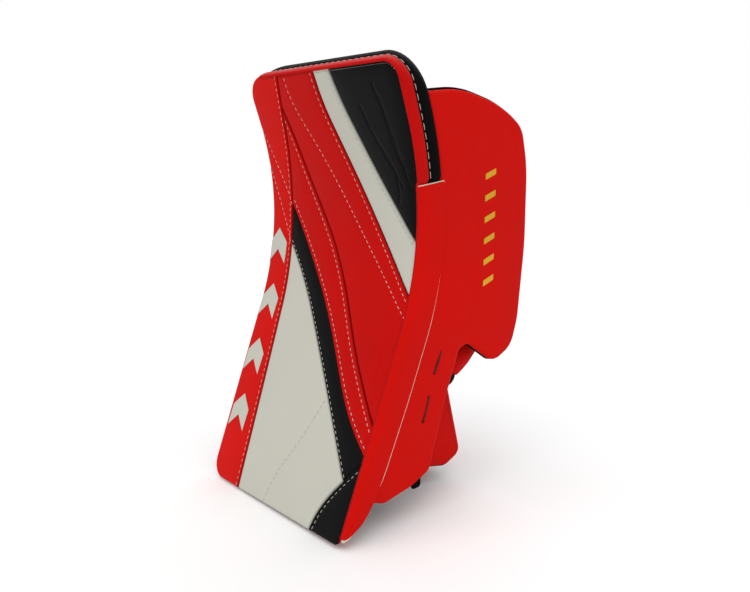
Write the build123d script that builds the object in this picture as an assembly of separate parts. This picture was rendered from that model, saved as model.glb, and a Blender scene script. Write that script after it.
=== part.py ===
from build123d import *
from math import cos, radians, sin
import os

# Goalie blocker for the left hand, finger end up.
# Millimetres and degrees. +X is the thumb side, +Y the palm side, +Z the finger end.
# The origin is the middle of the pocket that the hand goes into.

# Board: a flat lower run that leans forward at the wrist, then a bend that carries the
# finger end forward too, and ends in a short flat run. S runs up the front face from its
# bottom edge, T runs back into the board from the front face.
BOARD_WIDTH = 203.0
BOARD_LENGTH = 381.0
BOARD_THICKNESS = 25.0
LOWER_RUN = 170.0
LOWER_LEAN = 22.0
BEND_RADIUS = 240.0
BEND_END = 340.0
FACE_REAR_Y = -58.0
BOTTOM_Z = -170.0
WRIST_END_NARROWING = 5.5
NARROWING_LENGTH = 215.0
BOTTOM_SLANT = 24.0
TOP_SLANT = 4.0
TOP_THUMB_CORNER = 22.0
TOP_LITTLE_CORNER = 25.0
BOTTOM_THUMB_CORNER = 12.0
BOTTOM_LITTLE_CORNER = 20.0

# Board layers, as depths T behind the front face.
COVER_DEPTH = 3.0
CORE_DEPTH = 13.0
PLATE_DEPTH = 14.5
LINER_DEPTH = 23.0
EDGE_WALL = 2.5
BINDING_SPLIT = 12.0

# Overlay strip on the thumb-side wall, and the flat marks glued to the wrist-end strip.
OVERLAY_THICKNESS = 1.8
OVERLAY_FRONT = 0.5
OVERLAY_END_RADIUS = 20.0
OVERLAY_WRAP = 27.0
OVERLAY_BOTTOM = 9.0
OVERLAY_TOP = 286.0
MARK_THICKNESS = 0.5
CHEVRON_HALF_WIDTH = 13.0
CHEVRON_ARM = 22.0
CHEVRON_RISE = 14.0
CHEVRON_COUNT = 4
CHEVRON_PITCH = 54.0
CHEVRON_FIRST_S = 46.0
CHEVRON_LOW_X = -75.0
CHEVRON_LEAN = 0.062

# Side guard: a flat padded panel in the Y-Z plane behind the thumb-side edge.
GUARD_OUTER_X = 101.5
GUARD_SKIN = 1.2
GUARD_OUTER_FOAM = 4.0
GUARD_INSERT = 1.2
GUARD_INNER_FOAM = 3.0
GUARD_LINER = 1.2
GUARD_BINDING = 1.5
GUARD_BAR_COUNT = 6
GUARD_BAR_PITCH = 18.0
GUARD_BAR_LENGTH = 13.0
GUARD_BAR_WIDTH = 5.0
GUARD_BAR_SLANT = 20.0
GUARD_BAR_Y = 18.0
GUARD_BAR_FIRST_Z = 15.0
LACE = 2.0
LACE_HOLE_DIAMETER = 3.2

# Hand pocket and glove.
POCKET_WIDTH = 88.0
POCKET_DEPTH = 34.0
POCKET_BOTTOM = -62.0
POCKET_TOP = 40.0
LINING = 1.5
GUSSET = 5.0
PALM = 2.5
PALM_BOTTOM = -73.0
PALM_PATCH = 1.5
PALM_PATCH_BOTTOM = -16.0
PALM_PATCH_MARGIN = 4.0
BACK_FOAM_BOTTOM = -70.0
BACK_FOAM_TOP = 54.0
FINGER_REST_BOTTOM = 55.0
FINGER_REST_TOP = 128.0
FINGER_REST_Y = -18.0
KNUCKLE_ROLL_HALF = 46.0
KNUCKLE_NECK = 3.0

# Fingers: stadium-sided pads that roll on each other at each knuckle.
FINGER_NAMES = ("little", "ring", "middle", "index")
FINGER_BASE_RUN = (13.0, 18.0, 20.0, 17.0)
FINGER_TIP_RUN = (9.0, 13.0, 15.0, 12.0)
FINGER_PITCH = 23.5
FINGER_WIDTH = 21.5
FINGER_RADIUS = 10.0
FINGER_GAP = 0.6
KNUCKLE_Y = 4.0
KNUCKLE_Z = 52.0
BASE_CURL = 12.0
TIP_CURL = 32.0

# Thumb, with its red shell on the outside.
THUMB_X = 65.0
THUMB_WIDTH = 24.0
THUMB_RADIUS = 12.0
THUMB_PIVOT_Y = 4.0
THUMB_PIVOT_Z = -66.0
THUMB_BASE_RUN = 16.0
THUMB_TIP_RUN = 12.0
THUMB_BASE_LEAN = 48.0
THUMB_TIP_LEAN = 30.0
THUMB_SHELL = 2.5

# Cuff and wrist strap.
CUFF_X = 60.0
CUFF_WALL = 5.0
CUFF_HINGE_Y = 20.0
CUFF_HINGE_Z = -76.0
CUFF_FLAP_LENGTH = 76.0
CUFF_FLAP_LEAN = 9.0
CUFF_GAP = 1.0
STRAP_WIDTH = 36.0
STRAP_THICKNESS = 2.5
STRAP_CENTRE_Z = -42.0
STRAP_HINGE_X = -53.0
STRAP_END_X = 44.0
STRAP_GAP = 0.3
PATCH_THICKNESS = 1.2
PATCH_LENGTH = 42.0
PATCH_MARGIN = 4.0
TAB_LENGTH = 6.0
TAB_INSET = 6.0
ANCHOR_REACH = 4.0

# Rounding of padded ends, as a share of their smallest half size.
SOFT_EDGE = 0.35

FAR = 600.0
LEAN = radians(LOWER_LEAN)
BEND_Y = FACE_REAR_Y - BEND_RADIUS
BEND_Z = BOTTOM_Z + LOWER_RUN * cos(LEAN) + BEND_RADIUS * sin(LEAN)
HALF_WIDTH = BOARD_WIDTH / 2


def face_angle(s):
    """Return the pitch of the face at s, in radians: 0 is upright, and it grows up the bend."""
    return (min(max(s, LOWER_RUN), BEND_END) - LOWER_RUN) / BEND_RADIUS - LEAN


def face_point(s, t):
    """Return (y, z) at distance s up the front face and depth t behind it."""
    angle = face_angle(s)
    beyond = s - min(max(s, LOWER_RUN), BEND_END)
    y = BEND_Y + (BEND_RADIUS + t) * cos(angle) - beyond * sin(angle)
    z = BEND_Z + (BEND_RADIUS + t) * sin(angle) + beyond * cos(angle)
    return y, z


def face_height(s):
    """Return z at distance s up the front face."""
    return face_point(s, 0)[1]


def side_band(s0, s1, t0, t1):
    """Return the Y-Z face between two depths, from s0 to s1 up the board."""
    bend_top = min(s1, BEND_END)
    middle = (LOWER_RUN + bend_top) / 2
    edges = [Line(face_point(s, t0), face_point(s, t1)) for s in (s0, s1)]
    for t in (t0, t1):
        low, high = face_point(LOWER_RUN, t), face_point(bend_top, t)
        edges.append(Line(face_point(s0, t), low))
        edges.append(ThreePointArc(low, face_point(middle, t), high))
        if s1 > BEND_END:
            edges.append(Line(high, face_point(s1, t)))
    return Plane.YZ * make_face(edges)


def across(face, x0, x1):
    """Extrude a Y-Z face along X from x0 to x1."""
    return extrude(Pos(x0, 0, 0) * face, x1 - x0, dir=(1, 0, 0))


def end_prism(points, radii, s, slant, inset):
    """Extrude an end outline, drawn flat on the face at s, right through the board."""
    y, z = face_point(s, 0)
    pitch = -face_angle(s)
    normal = (0, cos(pitch), -sin(pitch))
    plane = Plane(origin=(0, y, z), x_dir=(-1, 0, 0), z_dir=normal)
    outline = make_face(FilletPolyline(*points, radius=radii, close=True))
    face = plane * (offset(outline, -inset) if inset else outline)
    along = slant / BOARD_THICKNESS
    direction = (0, normal[1] + along * sin(pitch), normal[2] + along * cos(pitch))
    return extrude(face, FAR / 2, dir=direction, both=True)


def top_prism(inset):
    """Rounded finger end of the board. Local x points to the little finger."""
    points = [(-HALF_WIDTH, 0), (HALF_WIDTH, 0), (HALF_WIDTH, -FAR), (-HALF_WIDTH, -FAR)]
    radii = [TOP_THUMB_CORNER, TOP_LITTLE_CORNER, 5, 5]
    return end_prism(points, radii, BOARD_LENGTH, TOP_SLANT, inset)


def bottom_prism(inset):
    """Rounded wrist end of the board, narrower on the little-finger side."""
    narrow = HALF_WIDTH - WRIST_END_NARROWING
    points = [
        (-HALF_WIDTH, 0),
        (narrow, 0),
        (HALF_WIDTH, NARROWING_LENGTH),
        (HALF_WIDTH, FAR),
        (-HALF_WIDTH, FAR),
    ]
    radii = [BOTTOM_THUMB_CORNER, BOTTOM_LITTLE_CORNER, FAR, 5, 5]
    return end_prism(points, radii, 0, BOTTOM_SLANT, inset)


def slab(t0, t1, inset=0):
    """One layer of the board between two depths, inset from the outline."""
    margin = BOARD_THICKNESS
    band = across(side_band(-margin, BOARD_LENGTH + margin, t0, t1), -FAR / 4, FAR / 4)
    return (band & top_prism(inset)) & bottom_prism(inset)


def below(seam):
    """Everything below a seam, given as (x, s) points across the front face."""
    points = [(x, face_height(s)) for x, s in seam]
    curve = Spline(*points)
    start, end = points[0], points[-1]
    rest = Polyline(end, (FAR, end[1]), (FAR, -FAR), (-FAR, -FAR), (-FAR, start[1]), start)
    return extrude(Plane.XZ * make_face([curve, rest]), FAR, both=True)


def left_of(seam):
    """Everything on the little-finger side of a seam that runs up the board."""
    points = [(x, face_height(s)) for x, s in seam]
    curve = Spline(*points)
    start, end = points[0], points[-1]
    rest = Polyline(end, (end[0], FAR), (-FAR, FAR), (-FAR, -FAR), (start[0], -FAR), start)
    return extrude(Plane.XZ * make_face([curve, rest]), FAR, both=True)


def build_board():
    """Foam, plate and liner layers, edge walls and the eight front panels."""
    inside = EDGE_WALL
    parts = {
        "foam_core": slab(COVER_DEPTH, CORE_DEPTH, inside),
        "stiffener_plate": slab(CORE_DEPTH, PLATE_DEPTH, inside),
        "rear_foam": slab(PLATE_DEPTH, LINER_DEPTH, inside),
        "back_liner": slab(LINER_DEPTH, BOARD_THICKNESS, inside),
    }
    hole = slab(0, BOARD_THICKNESS + 1, inside)
    parts["front_edge_binding"] = slab(COVER_DEPTH, BINDING_SPLIT) - hole
    parts["rear_edge_band"] = slab(BINDING_SPLIT, BOARD_THICKNESS) - hole

    strip_seam = [(-47, -6), (-62, 150), (-69.5, 250), (-66, 312), (-51, 390)]
    corner_seam = [(59, -6), (64, 14), (83, 46), (104, 73)]
    stripe_lower_seam = [(-70, 231), (8, 139), (84, 45)]
    stripe_upper_seam = [(-70, 268), (-40, 226), (26, 146), (72, 91), (104, 66)]
    band_seam = [(-58, 352), (-41, 296), (-5, 236), (52, 149), (104, 88)]
    white_lower_seam = [(-1, 390), (2, 358), (29, 291), (62, 242), (104, 192)]
    white_upper_seam = [(19, 390), (27, 355), (53, 298), (104, 235)]

    cover = slab(0, COVER_DEPTH)
    strip_side = left_of(strip_seam)
    parts["outer_strip_panel"] = cover & strip_side
    remaining = cover - strip_side
    cuts = [
        ("lower_corner_panel", corner_seam),
        ("white_lower_panel", stripe_lower_seam),
        ("black_stripe_panel", stripe_upper_seam),
        ("curved_band_panel", band_seam),
        ("centre_panel", white_lower_seam),
        ("white_stripe_panel", white_upper_seam),
    ]
    for name, seam in cuts:
        side = below(seam)
        parts[name] = remaining & side
        remaining = remaining - side
    parts["upper_corner_panel"] = remaining
    return parts


def build_overlay():
    """Strip over the thumb-side wall and the front border of the side guard."""
    face = side_band(OVERLAY_BOTTOM, OVERLAY_TOP, OVERLAY_FRONT, OVERLAY_WRAP)
    rear_bottom = face.vertices().sort_by(Axis.Z)[0]
    face = fillet(rear_bottom, OVERLAY_END_RADIUS)
    return across(face, HALF_WIDTH, HALF_WIDTH + OVERLAY_THICKNESS)


def build_marks():
    """Column of plain chevrons on the outer strip panel."""
    band = across(side_band(0, BOARD_LENGTH, -MARK_THICKNESS, 0), -FAR / 4, FAR / 4)
    half = CHEVRON_HALF_WIDTH
    chevron = Polyline(
        (-half, 0),
        (0, CHEVRON_RISE),
        (half, 0),
        (half, CHEVRON_ARM),
        (0, CHEVRON_ARM + CHEVRON_RISE),
        (-half, CHEVRON_ARM),
        (-half, 0),
    )
    face = Plane.XZ * make_face(chevron)
    marks = []
    for index in range(CHEVRON_COUNT):
        s = CHEVRON_FIRST_S + index * CHEVRON_PITCH
        prism = extrude(Pos(CHEVRON_LOW_X - CHEVRON_LEAN * s, 0, face_height(s)) * face, FAR, both=True)
        marks.append((band & prism).solid())
    return Compound(marks)


def guard_face(inset=0):
    """Outline of the side guard: broad behind the fingers, narrow down to the wrist."""
    corners = [
        (-150, 161.3, 5),
        (-12, 177, 110),
        (40, 165.5, 110),
        (66, 148.5, 22),
        (73, 116, 120),
        (73.5, 48, 250),
        (67, -20, 60),
        (60, -44, 22),
        (37, -54.5, 16),
        (2, -31.5, 9),
        (-9, -36, 9),
        (-24, -74, 150),
        (-43, -134.5, 9),
        (-64, -142.8, 40),
        (-93, -148.5, 10),
        (-150, -128, 5),
    ]
    points = [(y, z) for y, z, radius in corners]
    radii = [radius for y, z, radius in corners]
    outline = make_face(FilletPolyline(*points, radius=radii, close=True))
    free = Plane.YZ * outline - side_band(-60, BOARD_LENGTH + 60, -FAR / 4, BOARD_THICKNESS)
    largest = free.faces().sort_by(SortBy.AREA)[-1]
    return offset(largest, -inset) if inset else largest


def guard_lace_spots():
    """Ends of the two lace stitches on the narrow part, as (y, z) pairs."""
    return [((-31, -32), (-39, -51)), ((-45, -69.5), (-51.5, -89.5))]


def build_guard():
    """Skin, two foams, plastic insert and liner inside an edge binding, with two laces."""
    inner = guard_face(GUARD_BINDING)
    outer = guard_face()
    names = ["guard_skin", "guard_outer_foam", "guard_insert", "guard_inner_foam", "guard_liner"]
    depths = [GUARD_SKIN, GUARD_OUTER_FOAM, GUARD_INSERT, GUARD_INNER_FOAM, GUARD_LINER]
    total = sum(depths)
    middle_x = GUARD_OUTER_X - total / 2
    holes = []
    laces = []
    for start, end in guard_lace_spots():
        for y, z in (start, end):
            place = Plane(origin=(middle_x, y, z), z_dir=(1, 0, 0))
            holes.append(place * Cylinder(LACE_HOLE_DIAMETER / 2, total * 2))
        run = Vector(0, end[0] - start[0], end[1] - start[1])
        centre = (middle_x, (start[0] + end[0]) / 2, (start[1] + end[1]) / 2)
        plane = Plane(origin=centre, x_dir=(1, 0, 0), z_dir=Vector(1, 0, 0).cross(run))
        loop = Rectangle(total + 2 * LACE, run.length + LACE) - Rectangle(total, run.length - LACE)
        laces.append(extrude(plane * loop, LACE / 2, both=True).solid())
    parts = {"guard_laces": Compound(laces)}
    surface = GUARD_OUTER_X
    for name, depth in zip(names, depths):
        parts[name] = across(inner, surface - depth, surface) - holes
        surface -= depth
    parts["guard_edge_binding"] = across(outer - inner, surface, GUARD_OUTER_X)
    return parts


def build_guard_bars():
    """Column of plain slanted bars printed on the side guard."""
    shift = GUARD_BAR_LENGTH * sin(radians(GUARD_BAR_SLANT))
    bar = Polyline(
        (0, 0),
        (GUARD_BAR_LENGTH, shift),
        (GUARD_BAR_LENGTH, shift + GUARD_BAR_WIDTH),
        (0, GUARD_BAR_WIDTH),
        (0, 0),
    )
    face = Plane.YZ * make_face(bar)
    bars = []
    for index in range(GUARD_BAR_COUNT):
        place = Pos(0, GUARD_BAR_Y, GUARD_BAR_FIRST_Z + index * GUARD_BAR_PITCH)
        solid = across(place * face, GUARD_OUTER_X, GUARD_OUTER_X + MARK_THICKNESS)
        bars.append(solid.solid())
    return Compound(bars)


def box_between(x, y, z):
    """Box from three (low, high) pairs."""
    size = (x[1] - x[0], y[1] - y[0], z[1] - z[0])
    return Pos((x[0] + x[1]) / 2, (y[0] + y[1]) / 2, (z[0] + z[1]) / 2) * Box(*size)


def board_zone():
    """The board and everything in front of it, used to trim what sits on its back."""
    return across(side_band(-60, BOARD_LENGTH + 60, -FAR / 4, BOARD_THICKNESS), -FAR / 4, FAR / 4)


def build_pocket():
    """The pocket behind the board: back padding, gussets, palm and knuckle roll."""
    half = POCKET_WIDTH / 2
    back = -POCKET_DEPTH / 2
    front = POCKET_DEPTH / 2
    wide = (-half - GUSSET, half + GUSSET)
    height = (POCKET_BOTTOM, POCKET_TOP)
    roll_x = (-KNUCKLE_ROLL_HALF, KNUCKLE_ROLL_HALF)
    roll_y = (KNUCKLE_Y - FINGER_RADIUS, KNUCKLE_Y + FINGER_RADIUS)
    patch_x = (-half + PALM_PATCH_MARGIN, half - PALM_PATCH_MARGIN)
    patch_z = (PALM_PATCH_BOTTOM, POCKET_TOP - PALM_PATCH_MARGIN / 2)
    skin = front + PALM
    trim = board_zone()
    foam = box_between(wide, (-FAR / 6, back - LINING), (BACK_FOAM_BOTTOM, BACK_FOAM_TOP)) - trim
    rest = box_between(wide, (-FAR / 6, FINGER_REST_Y), (FINGER_REST_BOTTOM, FINGER_REST_TOP)) - trim
    roll = box_between(roll_x, (back, front), (POCKET_TOP, POCKET_TOP + KNUCKLE_NECK))
    neck = box_between(roll_x, roll_y, (POCKET_TOP, KNUCKLE_Z))
    bead = Pos(0, KNUCKLE_Y, KNUCKLE_Z) * Rot(0, 90, 0) * Cylinder(FINGER_RADIUS, 2 * KNUCKLE_ROLL_HALF)
    return {
        "backhand_foam": foam,
        "finger_rest_pad": rest,
        "backhand_lining": box_between(wide, (back - LINING, back), height),
        "little_finger_gusset": box_between((-half - GUSSET, -half), (back, front), height),
        "thumb_gusset": box_between((half, half + GUSSET), (back, front), height),
        "palm": box_between(wide, (front, skin), (PALM_BOTTOM, POCKET_TOP)),
        "palm_patch": box_between(patch_x, (skin, skin + PALM_PATCH), patch_z),
        "knuckle_roll": roll.fuse(neck, bead).solid(),
    }


def stadium(start, end, radius, width, x):
    """Pad with a stadium side view from start to end, centred on x."""
    run = Vector(0, end[0] - start[0], end[1] - start[1])
    middle = ((start[0] + end[0]) / 2, (start[1] + end[1]) / 2)
    plane = Plane(origin=(x - width / 2, *middle), x_dir=run, z_dir=(1, 0, 0))
    pad = extrude(plane * SlotCenterToCenter(run.length, 2 * radius), width)
    ends = pad.faces().filter_by(Axis.X).edges()
    return fillet(ends, min(radius, width) * SOFT_EDGE)


def step(point, lean, distance):
    """Move a (y, z) point by a distance, lean degrees from +Z towards +Y."""
    return point[0] + distance * sin(radians(lean)), point[1] + distance * cos(radians(lean))


def finger_chain(pivot, radius, leans, runs):
    """Return the start and end centres of each rolling segment after a pivot."""
    reach = 2 * radius + FINGER_GAP
    centres = []
    for lean, run in zip(leans, runs):
        start = step(pivot, lean, reach)
        pivot = step(start, lean, run)
        centres.append((start, pivot))
    return centres


def build_fingers():
    """Base and tip pad of four fingers and a thumb, and the shell over the thumb."""
    parts = {}
    for index, name in enumerate(FINGER_NAMES):
        x = (index - 1.5) * FINGER_PITCH
        runs = (FINGER_BASE_RUN[index], FINGER_TIP_RUN[index])
        chain = finger_chain((KNUCKLE_Y, KNUCKLE_Z), FINGER_RADIUS, (BASE_CURL, TIP_CURL), runs)
        for label, (start, end) in zip(("base", "tip"), chain):
            parts[f"{name}_finger_{label}"] = stadium(start, end, FINGER_RADIUS, FINGER_WIDTH, x)
    pivot = (THUMB_PIVOT_Y, THUMB_PIVOT_Z)
    leans = (THUMB_BASE_LEAN, THUMB_TIP_LEAN)
    chain = finger_chain(pivot, THUMB_RADIUS, leans, (THUMB_BASE_RUN, THUMB_TIP_RUN))
    for label, (start, end) in zip(("base", "tip"), chain):
        parts[f"thumb_{label}"] = stadium(start, end, THUMB_RADIUS, THUMB_WIDTH, THUMB_X)
    inner_x = POCKET_WIDTH / 2 + GUSSET
    outer_x = THUMB_X + THUMB_WIDTH / 2
    root = Plane(origin=((inner_x + outer_x) / 2, *pivot), z_dir=(1, 0, 0))
    parts["thumb_root"] = root * Cylinder(THUMB_RADIUS, outer_x - inner_x)
    start, end = chain[0]
    shell = stadium(start, end, THUMB_RADIUS - 1, 2 * THUMB_SHELL, outer_x + THUMB_SHELL)
    parts["thumb_shell"] = shell
    return parts


def build_cuff():
    """Two side walls and a hinged palm-side flap round the wrist."""
    trim = board_zone()
    side_corners = [
        (-150, -79, 3),
        (14.3, -79, 5),
        (33.5, -149.5, 9),
        (15, -158, 9),
        (-150, -122, 3),
    ]
    points = [(y, z) for y, z, radius in side_corners]
    radii = [radius for y, z, radius in side_corners]
    face = Plane.YZ * make_face(FilletPolyline(*points, radius=radii, close=True))
    thumb_side = across(face, CUFF_X, CUFF_X + CUFF_WALL) - trim
    little_side = across(face, -CUFF_X - CUFF_WALL, -CUFF_X) - trim
    hinge = (CUFF_HINGE_Y, CUFF_HINGE_Z)
    lean = 180 - CUFF_FLAP_LEAN
    top = step(hinge, lean, CUFF_WALL)
    bottom = step(top, lean, CUFF_FLAP_LENGTH)
    half = CUFF_X - CUFF_GAP
    flap = stadium(top, bottom, CUFF_WALL / 2, 2 * half, 0)
    return {"cuff_thumb_side": thumb_side, "cuff_little_side": little_side, "cuff_palm_flap": flap}


def build_strap():
    """Wrist strap across the heel of the palm, sewn at the little-finger side."""
    surface = POCKET_DEPTH / 2 + PALM
    low = STRAP_CENTRE_Z - STRAP_WIDTH / 2
    high = STRAP_CENTRE_Z + STRAP_WIDTH / 2
    height = (low, high)
    patch_z = (low + PATCH_MARGIN / 2, high - PATCH_MARGIN / 2)
    tab_z = (low + TAB_INSET, high - TAB_INSET)
    patch_end = STRAP_END_X - PATCH_MARGIN
    patch_x = (patch_end - PATCH_LENGTH, patch_end)
    tab_x = (STRAP_END_X, STRAP_END_X + TAB_LENGTH)
    anchor_x = (STRAP_HINGE_X - ANCHOR_REACH, -POCKET_WIDTH / 2 - GUSSET)
    loop_y = (surface, surface + PATCH_THICKNESS)
    hook_y = (loop_y[1] + STRAP_GAP, loop_y[1] + STRAP_GAP + PATCH_THICKNESS)
    strap_y = (hook_y[1], hook_y[1] + STRAP_THICKNESS)
    anchor_y = (surface - ANCHOR_REACH, strap_y[0] - STRAP_GAP)
    return {
        "strap_loop_patch": box_between(patch_x, loop_y, patch_z),
        "strap_hook_patch": box_between(patch_x, hook_y, patch_z),
        "wrist_strap": box_between((STRAP_HINGE_X, STRAP_END_X), strap_y, height),
        "strap_pull_tab": box_between(tab_x, strap_y, tab_z),
        "strap_anchor": box_between(anchor_x, anchor_y, height),
    }


def build_parts():
    """Return every node's solid, by name."""
    parts = build_board()
    parts["side_overlay_strip"] = build_overlay()
    parts["outer_strip_marks"] = build_marks()
    parts.update(build_guard())
    parts["guard_marks"] = build_guard_bars()
    parts.update(build_pocket())
    parts.update(build_fingers())
    parts.update(build_cuff())
    parts.update(build_strap())
    return parts


os.makedirs("parts", exist_ok=True)
for name, shape in build_parts().items():
    shape.label = name
    export_step(shape, f"parts/{name}.step")
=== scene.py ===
import math

import bmesh
import bpy
import numpy as np
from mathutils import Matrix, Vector, kdtree
from mathutils.geometry import delaunay_2d_cdt


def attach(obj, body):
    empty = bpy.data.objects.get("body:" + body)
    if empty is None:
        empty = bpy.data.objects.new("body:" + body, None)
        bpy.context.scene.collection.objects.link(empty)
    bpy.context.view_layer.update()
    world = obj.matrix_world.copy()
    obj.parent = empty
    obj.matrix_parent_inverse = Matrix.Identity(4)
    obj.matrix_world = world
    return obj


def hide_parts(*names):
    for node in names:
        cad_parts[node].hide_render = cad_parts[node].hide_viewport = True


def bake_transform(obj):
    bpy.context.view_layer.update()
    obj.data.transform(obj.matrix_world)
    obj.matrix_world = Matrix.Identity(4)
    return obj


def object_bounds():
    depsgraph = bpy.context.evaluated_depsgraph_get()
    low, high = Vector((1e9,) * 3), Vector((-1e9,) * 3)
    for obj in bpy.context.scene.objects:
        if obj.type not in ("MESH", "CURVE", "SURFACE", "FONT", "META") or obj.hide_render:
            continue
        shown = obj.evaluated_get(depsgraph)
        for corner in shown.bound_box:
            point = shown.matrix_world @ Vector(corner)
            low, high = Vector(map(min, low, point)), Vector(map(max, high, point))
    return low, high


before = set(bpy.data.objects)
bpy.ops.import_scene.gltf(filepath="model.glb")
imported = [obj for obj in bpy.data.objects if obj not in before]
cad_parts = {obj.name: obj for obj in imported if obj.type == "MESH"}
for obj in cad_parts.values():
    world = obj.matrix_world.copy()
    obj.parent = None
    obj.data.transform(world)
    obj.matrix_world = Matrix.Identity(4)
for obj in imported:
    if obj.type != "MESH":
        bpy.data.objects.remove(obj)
cad_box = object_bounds()

# Lengths are in millimetres and are scaled to metres when a mesh is made.
# X is the thumb side, Y the palm side and Z the finger end. On the board, S runs up the
# front face from its bottom edge and T runs back into the board from the front face.
MM = 0.001
HALF_WIDTH = 101.5
LENGTH = 381.0
# The face is flat up to RUN, bends forward until BEND_END, and is flat again above it.
RUN = 170.0
LEAN = math.radians(22)
BEND = 240.0
BEND_END = 340.0
BEND_Y = -58.0 - BEND
BEND_Z = -170.0 + RUN * math.cos(LEAN) + BEND * math.sin(LEAN)
# Depth at which the red binding meets the black band, and that of the stitch row beside it.
BINDING_SPLIT = 12.0
EDGE_ROW_DEPTH = BINDING_SPLIT + 1.0
BOARD_BACK = 25.4
# The finger end climbs by TOP_SLANT for each millimetre of depth, from TOP_START up.
TOP_SLANT = 0.07
TOP_START = 340.0
STRIP_TOP = 286.0
# How far the board's wall stands back under the strip.
STRIP_BULK = 1.9
# Thicknesses of the leather on the front, on the wall and on the fingers.
COVER_LEATHER = 1.6
WALL_LEATHER = 1.2
FINGER_LEATHER = 1.1
ROOT = "blocker"
PALMWARDS = (0, 1, 0)
# Pivots in (y, z).
KNUCKLE = np.array([4.0, 52.0])
THUMB_PIVOT = np.array([4.0, -66.0])
THUMB_LEAN = 48
STRAP_Z = -42.0


# ---------------------------------------------------------------- shapes in the flat

def run_along(path):
    """Distance along a polyline to each of its points."""
    return np.r_[0, np.cumsum(np.linalg.norm(np.diff(path, axis=0), axis=1))]


def sample(path, along, places):
    """Points of a path at places measured along it."""
    return np.stack([np.interp(places, along, column) for column in np.asarray(path, float).T], -1)


def units(vectors):
    """Vectors scaled to a length of one."""
    return vectors / np.linalg.norm(vectors, axis=-1, keepdims=True)


def bell(gap, width):
    """1 where gap is 0, falling smoothly to 0 within about twice the width."""
    return np.exp(-(gap / width) ** 2)


def soft_below(value, width):
    """1 where a value is well below 0 and 0 where it is well above."""
    return 1 / (1 + np.exp(np.clip(value / width, -30, 30)))


def ramp(value, start, end):
    """0 at start and before it, rising to 1 at end and past it."""
    return np.clip((value - start) / (end - start), 0, 1)


def smooth_curve(points, step=1.5):
    """Natural cubic spline through the points, sampled about every step."""
    points = np.array(points, float)
    chord = run_along(points)
    count = len(points)
    gap = np.diff(chord)
    matrix = np.eye(count)
    right = np.zeros_like(points)
    for i in range(1, count - 1):
        matrix[i, i - 1:i + 2] = gap[i - 1], 2 * (gap[i - 1] + gap[i]), gap[i]
        right[i] = 6 * ((points[i + 1] - points[i]) / gap[i] - (points[i] - points[i - 1]) / gap[i - 1])
    bend = np.linalg.solve(matrix, right)
    u = np.linspace(0, chord[-1], max(3, int(chord[-1] / step) + 1))
    i = np.clip(np.searchsorted(chord, u, "right") - 1, 0, count - 2)
    a = ((chord[i + 1] - u) / gap[i])[:, None]
    b = 1 - a
    h = (gap[i] ** 2 / 6)[:, None]
    return a * points[i] + b * points[i + 1] + h * ((a ** 3 - a) * bend[i] + (b ** 3 - b) * bend[i + 1])


def resample(path, step, closed=False):
    """Points every step along a polyline, evenly spaced."""
    path = np.asarray(path, float)
    if closed:
        path = np.vstack([path, path[:1]])
    along = run_along(path)
    count = max(2, int(round(along[-1] / step)) + 1)
    out = sample(path, along, np.linspace(0, along[-1], count))
    return out[:-1] if closed else out


def rounded(corners, step=1.5):
    """Closed outline through (a, b, radius) corners, made anticlockwise, evenly sampled."""
    points = np.array([c[:2] for c in corners], float)
    ahead = np.roll(points, -1, 0)
    if (points[:, 0] * ahead[:, 1] - points[:, 1] * ahead[:, 0]).sum() < 0:
        corners = corners[::-1]
        points = points[::-1]
    out = []
    for i, (*_, radius) in enumerate(corners):
        here = points[i]
        before, after = units(points[i - 1] - here), units(points[(i + 1) % len(points)] - here)
        half = math.acos(np.clip(before @ after, -1, 1)) / 2
        centre = here + units(before + after) * radius / math.sin(half)
        start = here + before * radius / math.tan(half) - centre
        turn = math.pi - 2 * half
        cross = start[0] * (here - centre)[1] - start[1] * (here - centre)[0]
        for part in np.linspace(0, 1, 13):
            angle = math.copysign(turn * part, cross)
            c, s = math.cos(angle), math.sin(angle)
            out.append(centre + np.array([c * start[0] - s * start[1], s * start[0] + c * start[1]]))
    return resample(out, step, closed=True)


def matched(corners, radii, per_side=110, per_corner=14):
    """Closed outline like rounded(), whose points match for any radii, so outlines can be mixed."""
    points = np.array([c[:2] for c in corners], float)
    arcs = []
    for i, radius in enumerate(radii):
        here = points[i]
        before, after = units(points[i - 1] - here), units(points[(i + 1) % len(points)] - here)
        half = math.acos(np.clip(before @ after, -1, 1)) / 2
        centre = here + units(before + after) * radius / math.sin(half)
        start = here + before * radius / math.tan(half) - centre
        turn = (math.pi - 2 * half) * np.arange(per_corner + 1)[:, None] / per_corner
        arcs.append(centre + np.cos(turn) * start + np.sin(turn) * np.array([-start[1], start[0]]))
    out = []
    for i, arc in enumerate(arcs):
        share = np.arange(1, per_side)[:, None] / per_side
        out += [arc, arc[-1] * (1 - share) + arcs[(i + 1) % len(arcs)][0] * share]
    return np.vstack(out)


def outward(outline):
    """Unit normals that point out of a closed anticlockwise outline."""
    along = np.roll(outline, -1, 0) - np.roll(outline, 1, 0)
    return units(np.stack([along[:, 1], -along[:, 0]], 1))


def inset(outline, by):
    """A closed anticlockwise outline moved inwards all round, or outwards if by is negative."""
    return outline - outward(outline) * by


def inset_row(outline, by):
    """An inset outline as a row of stitches, ending where it starts."""
    row = inset(outline, by)
    return np.vstack([row, row[:1]])


def side_normals(line):
    """Unit normals to the left of an open line."""
    along = np.gradient(line, axis=0)
    return units(np.stack([-along[:, 1], along[:, 0]], 1))


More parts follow.
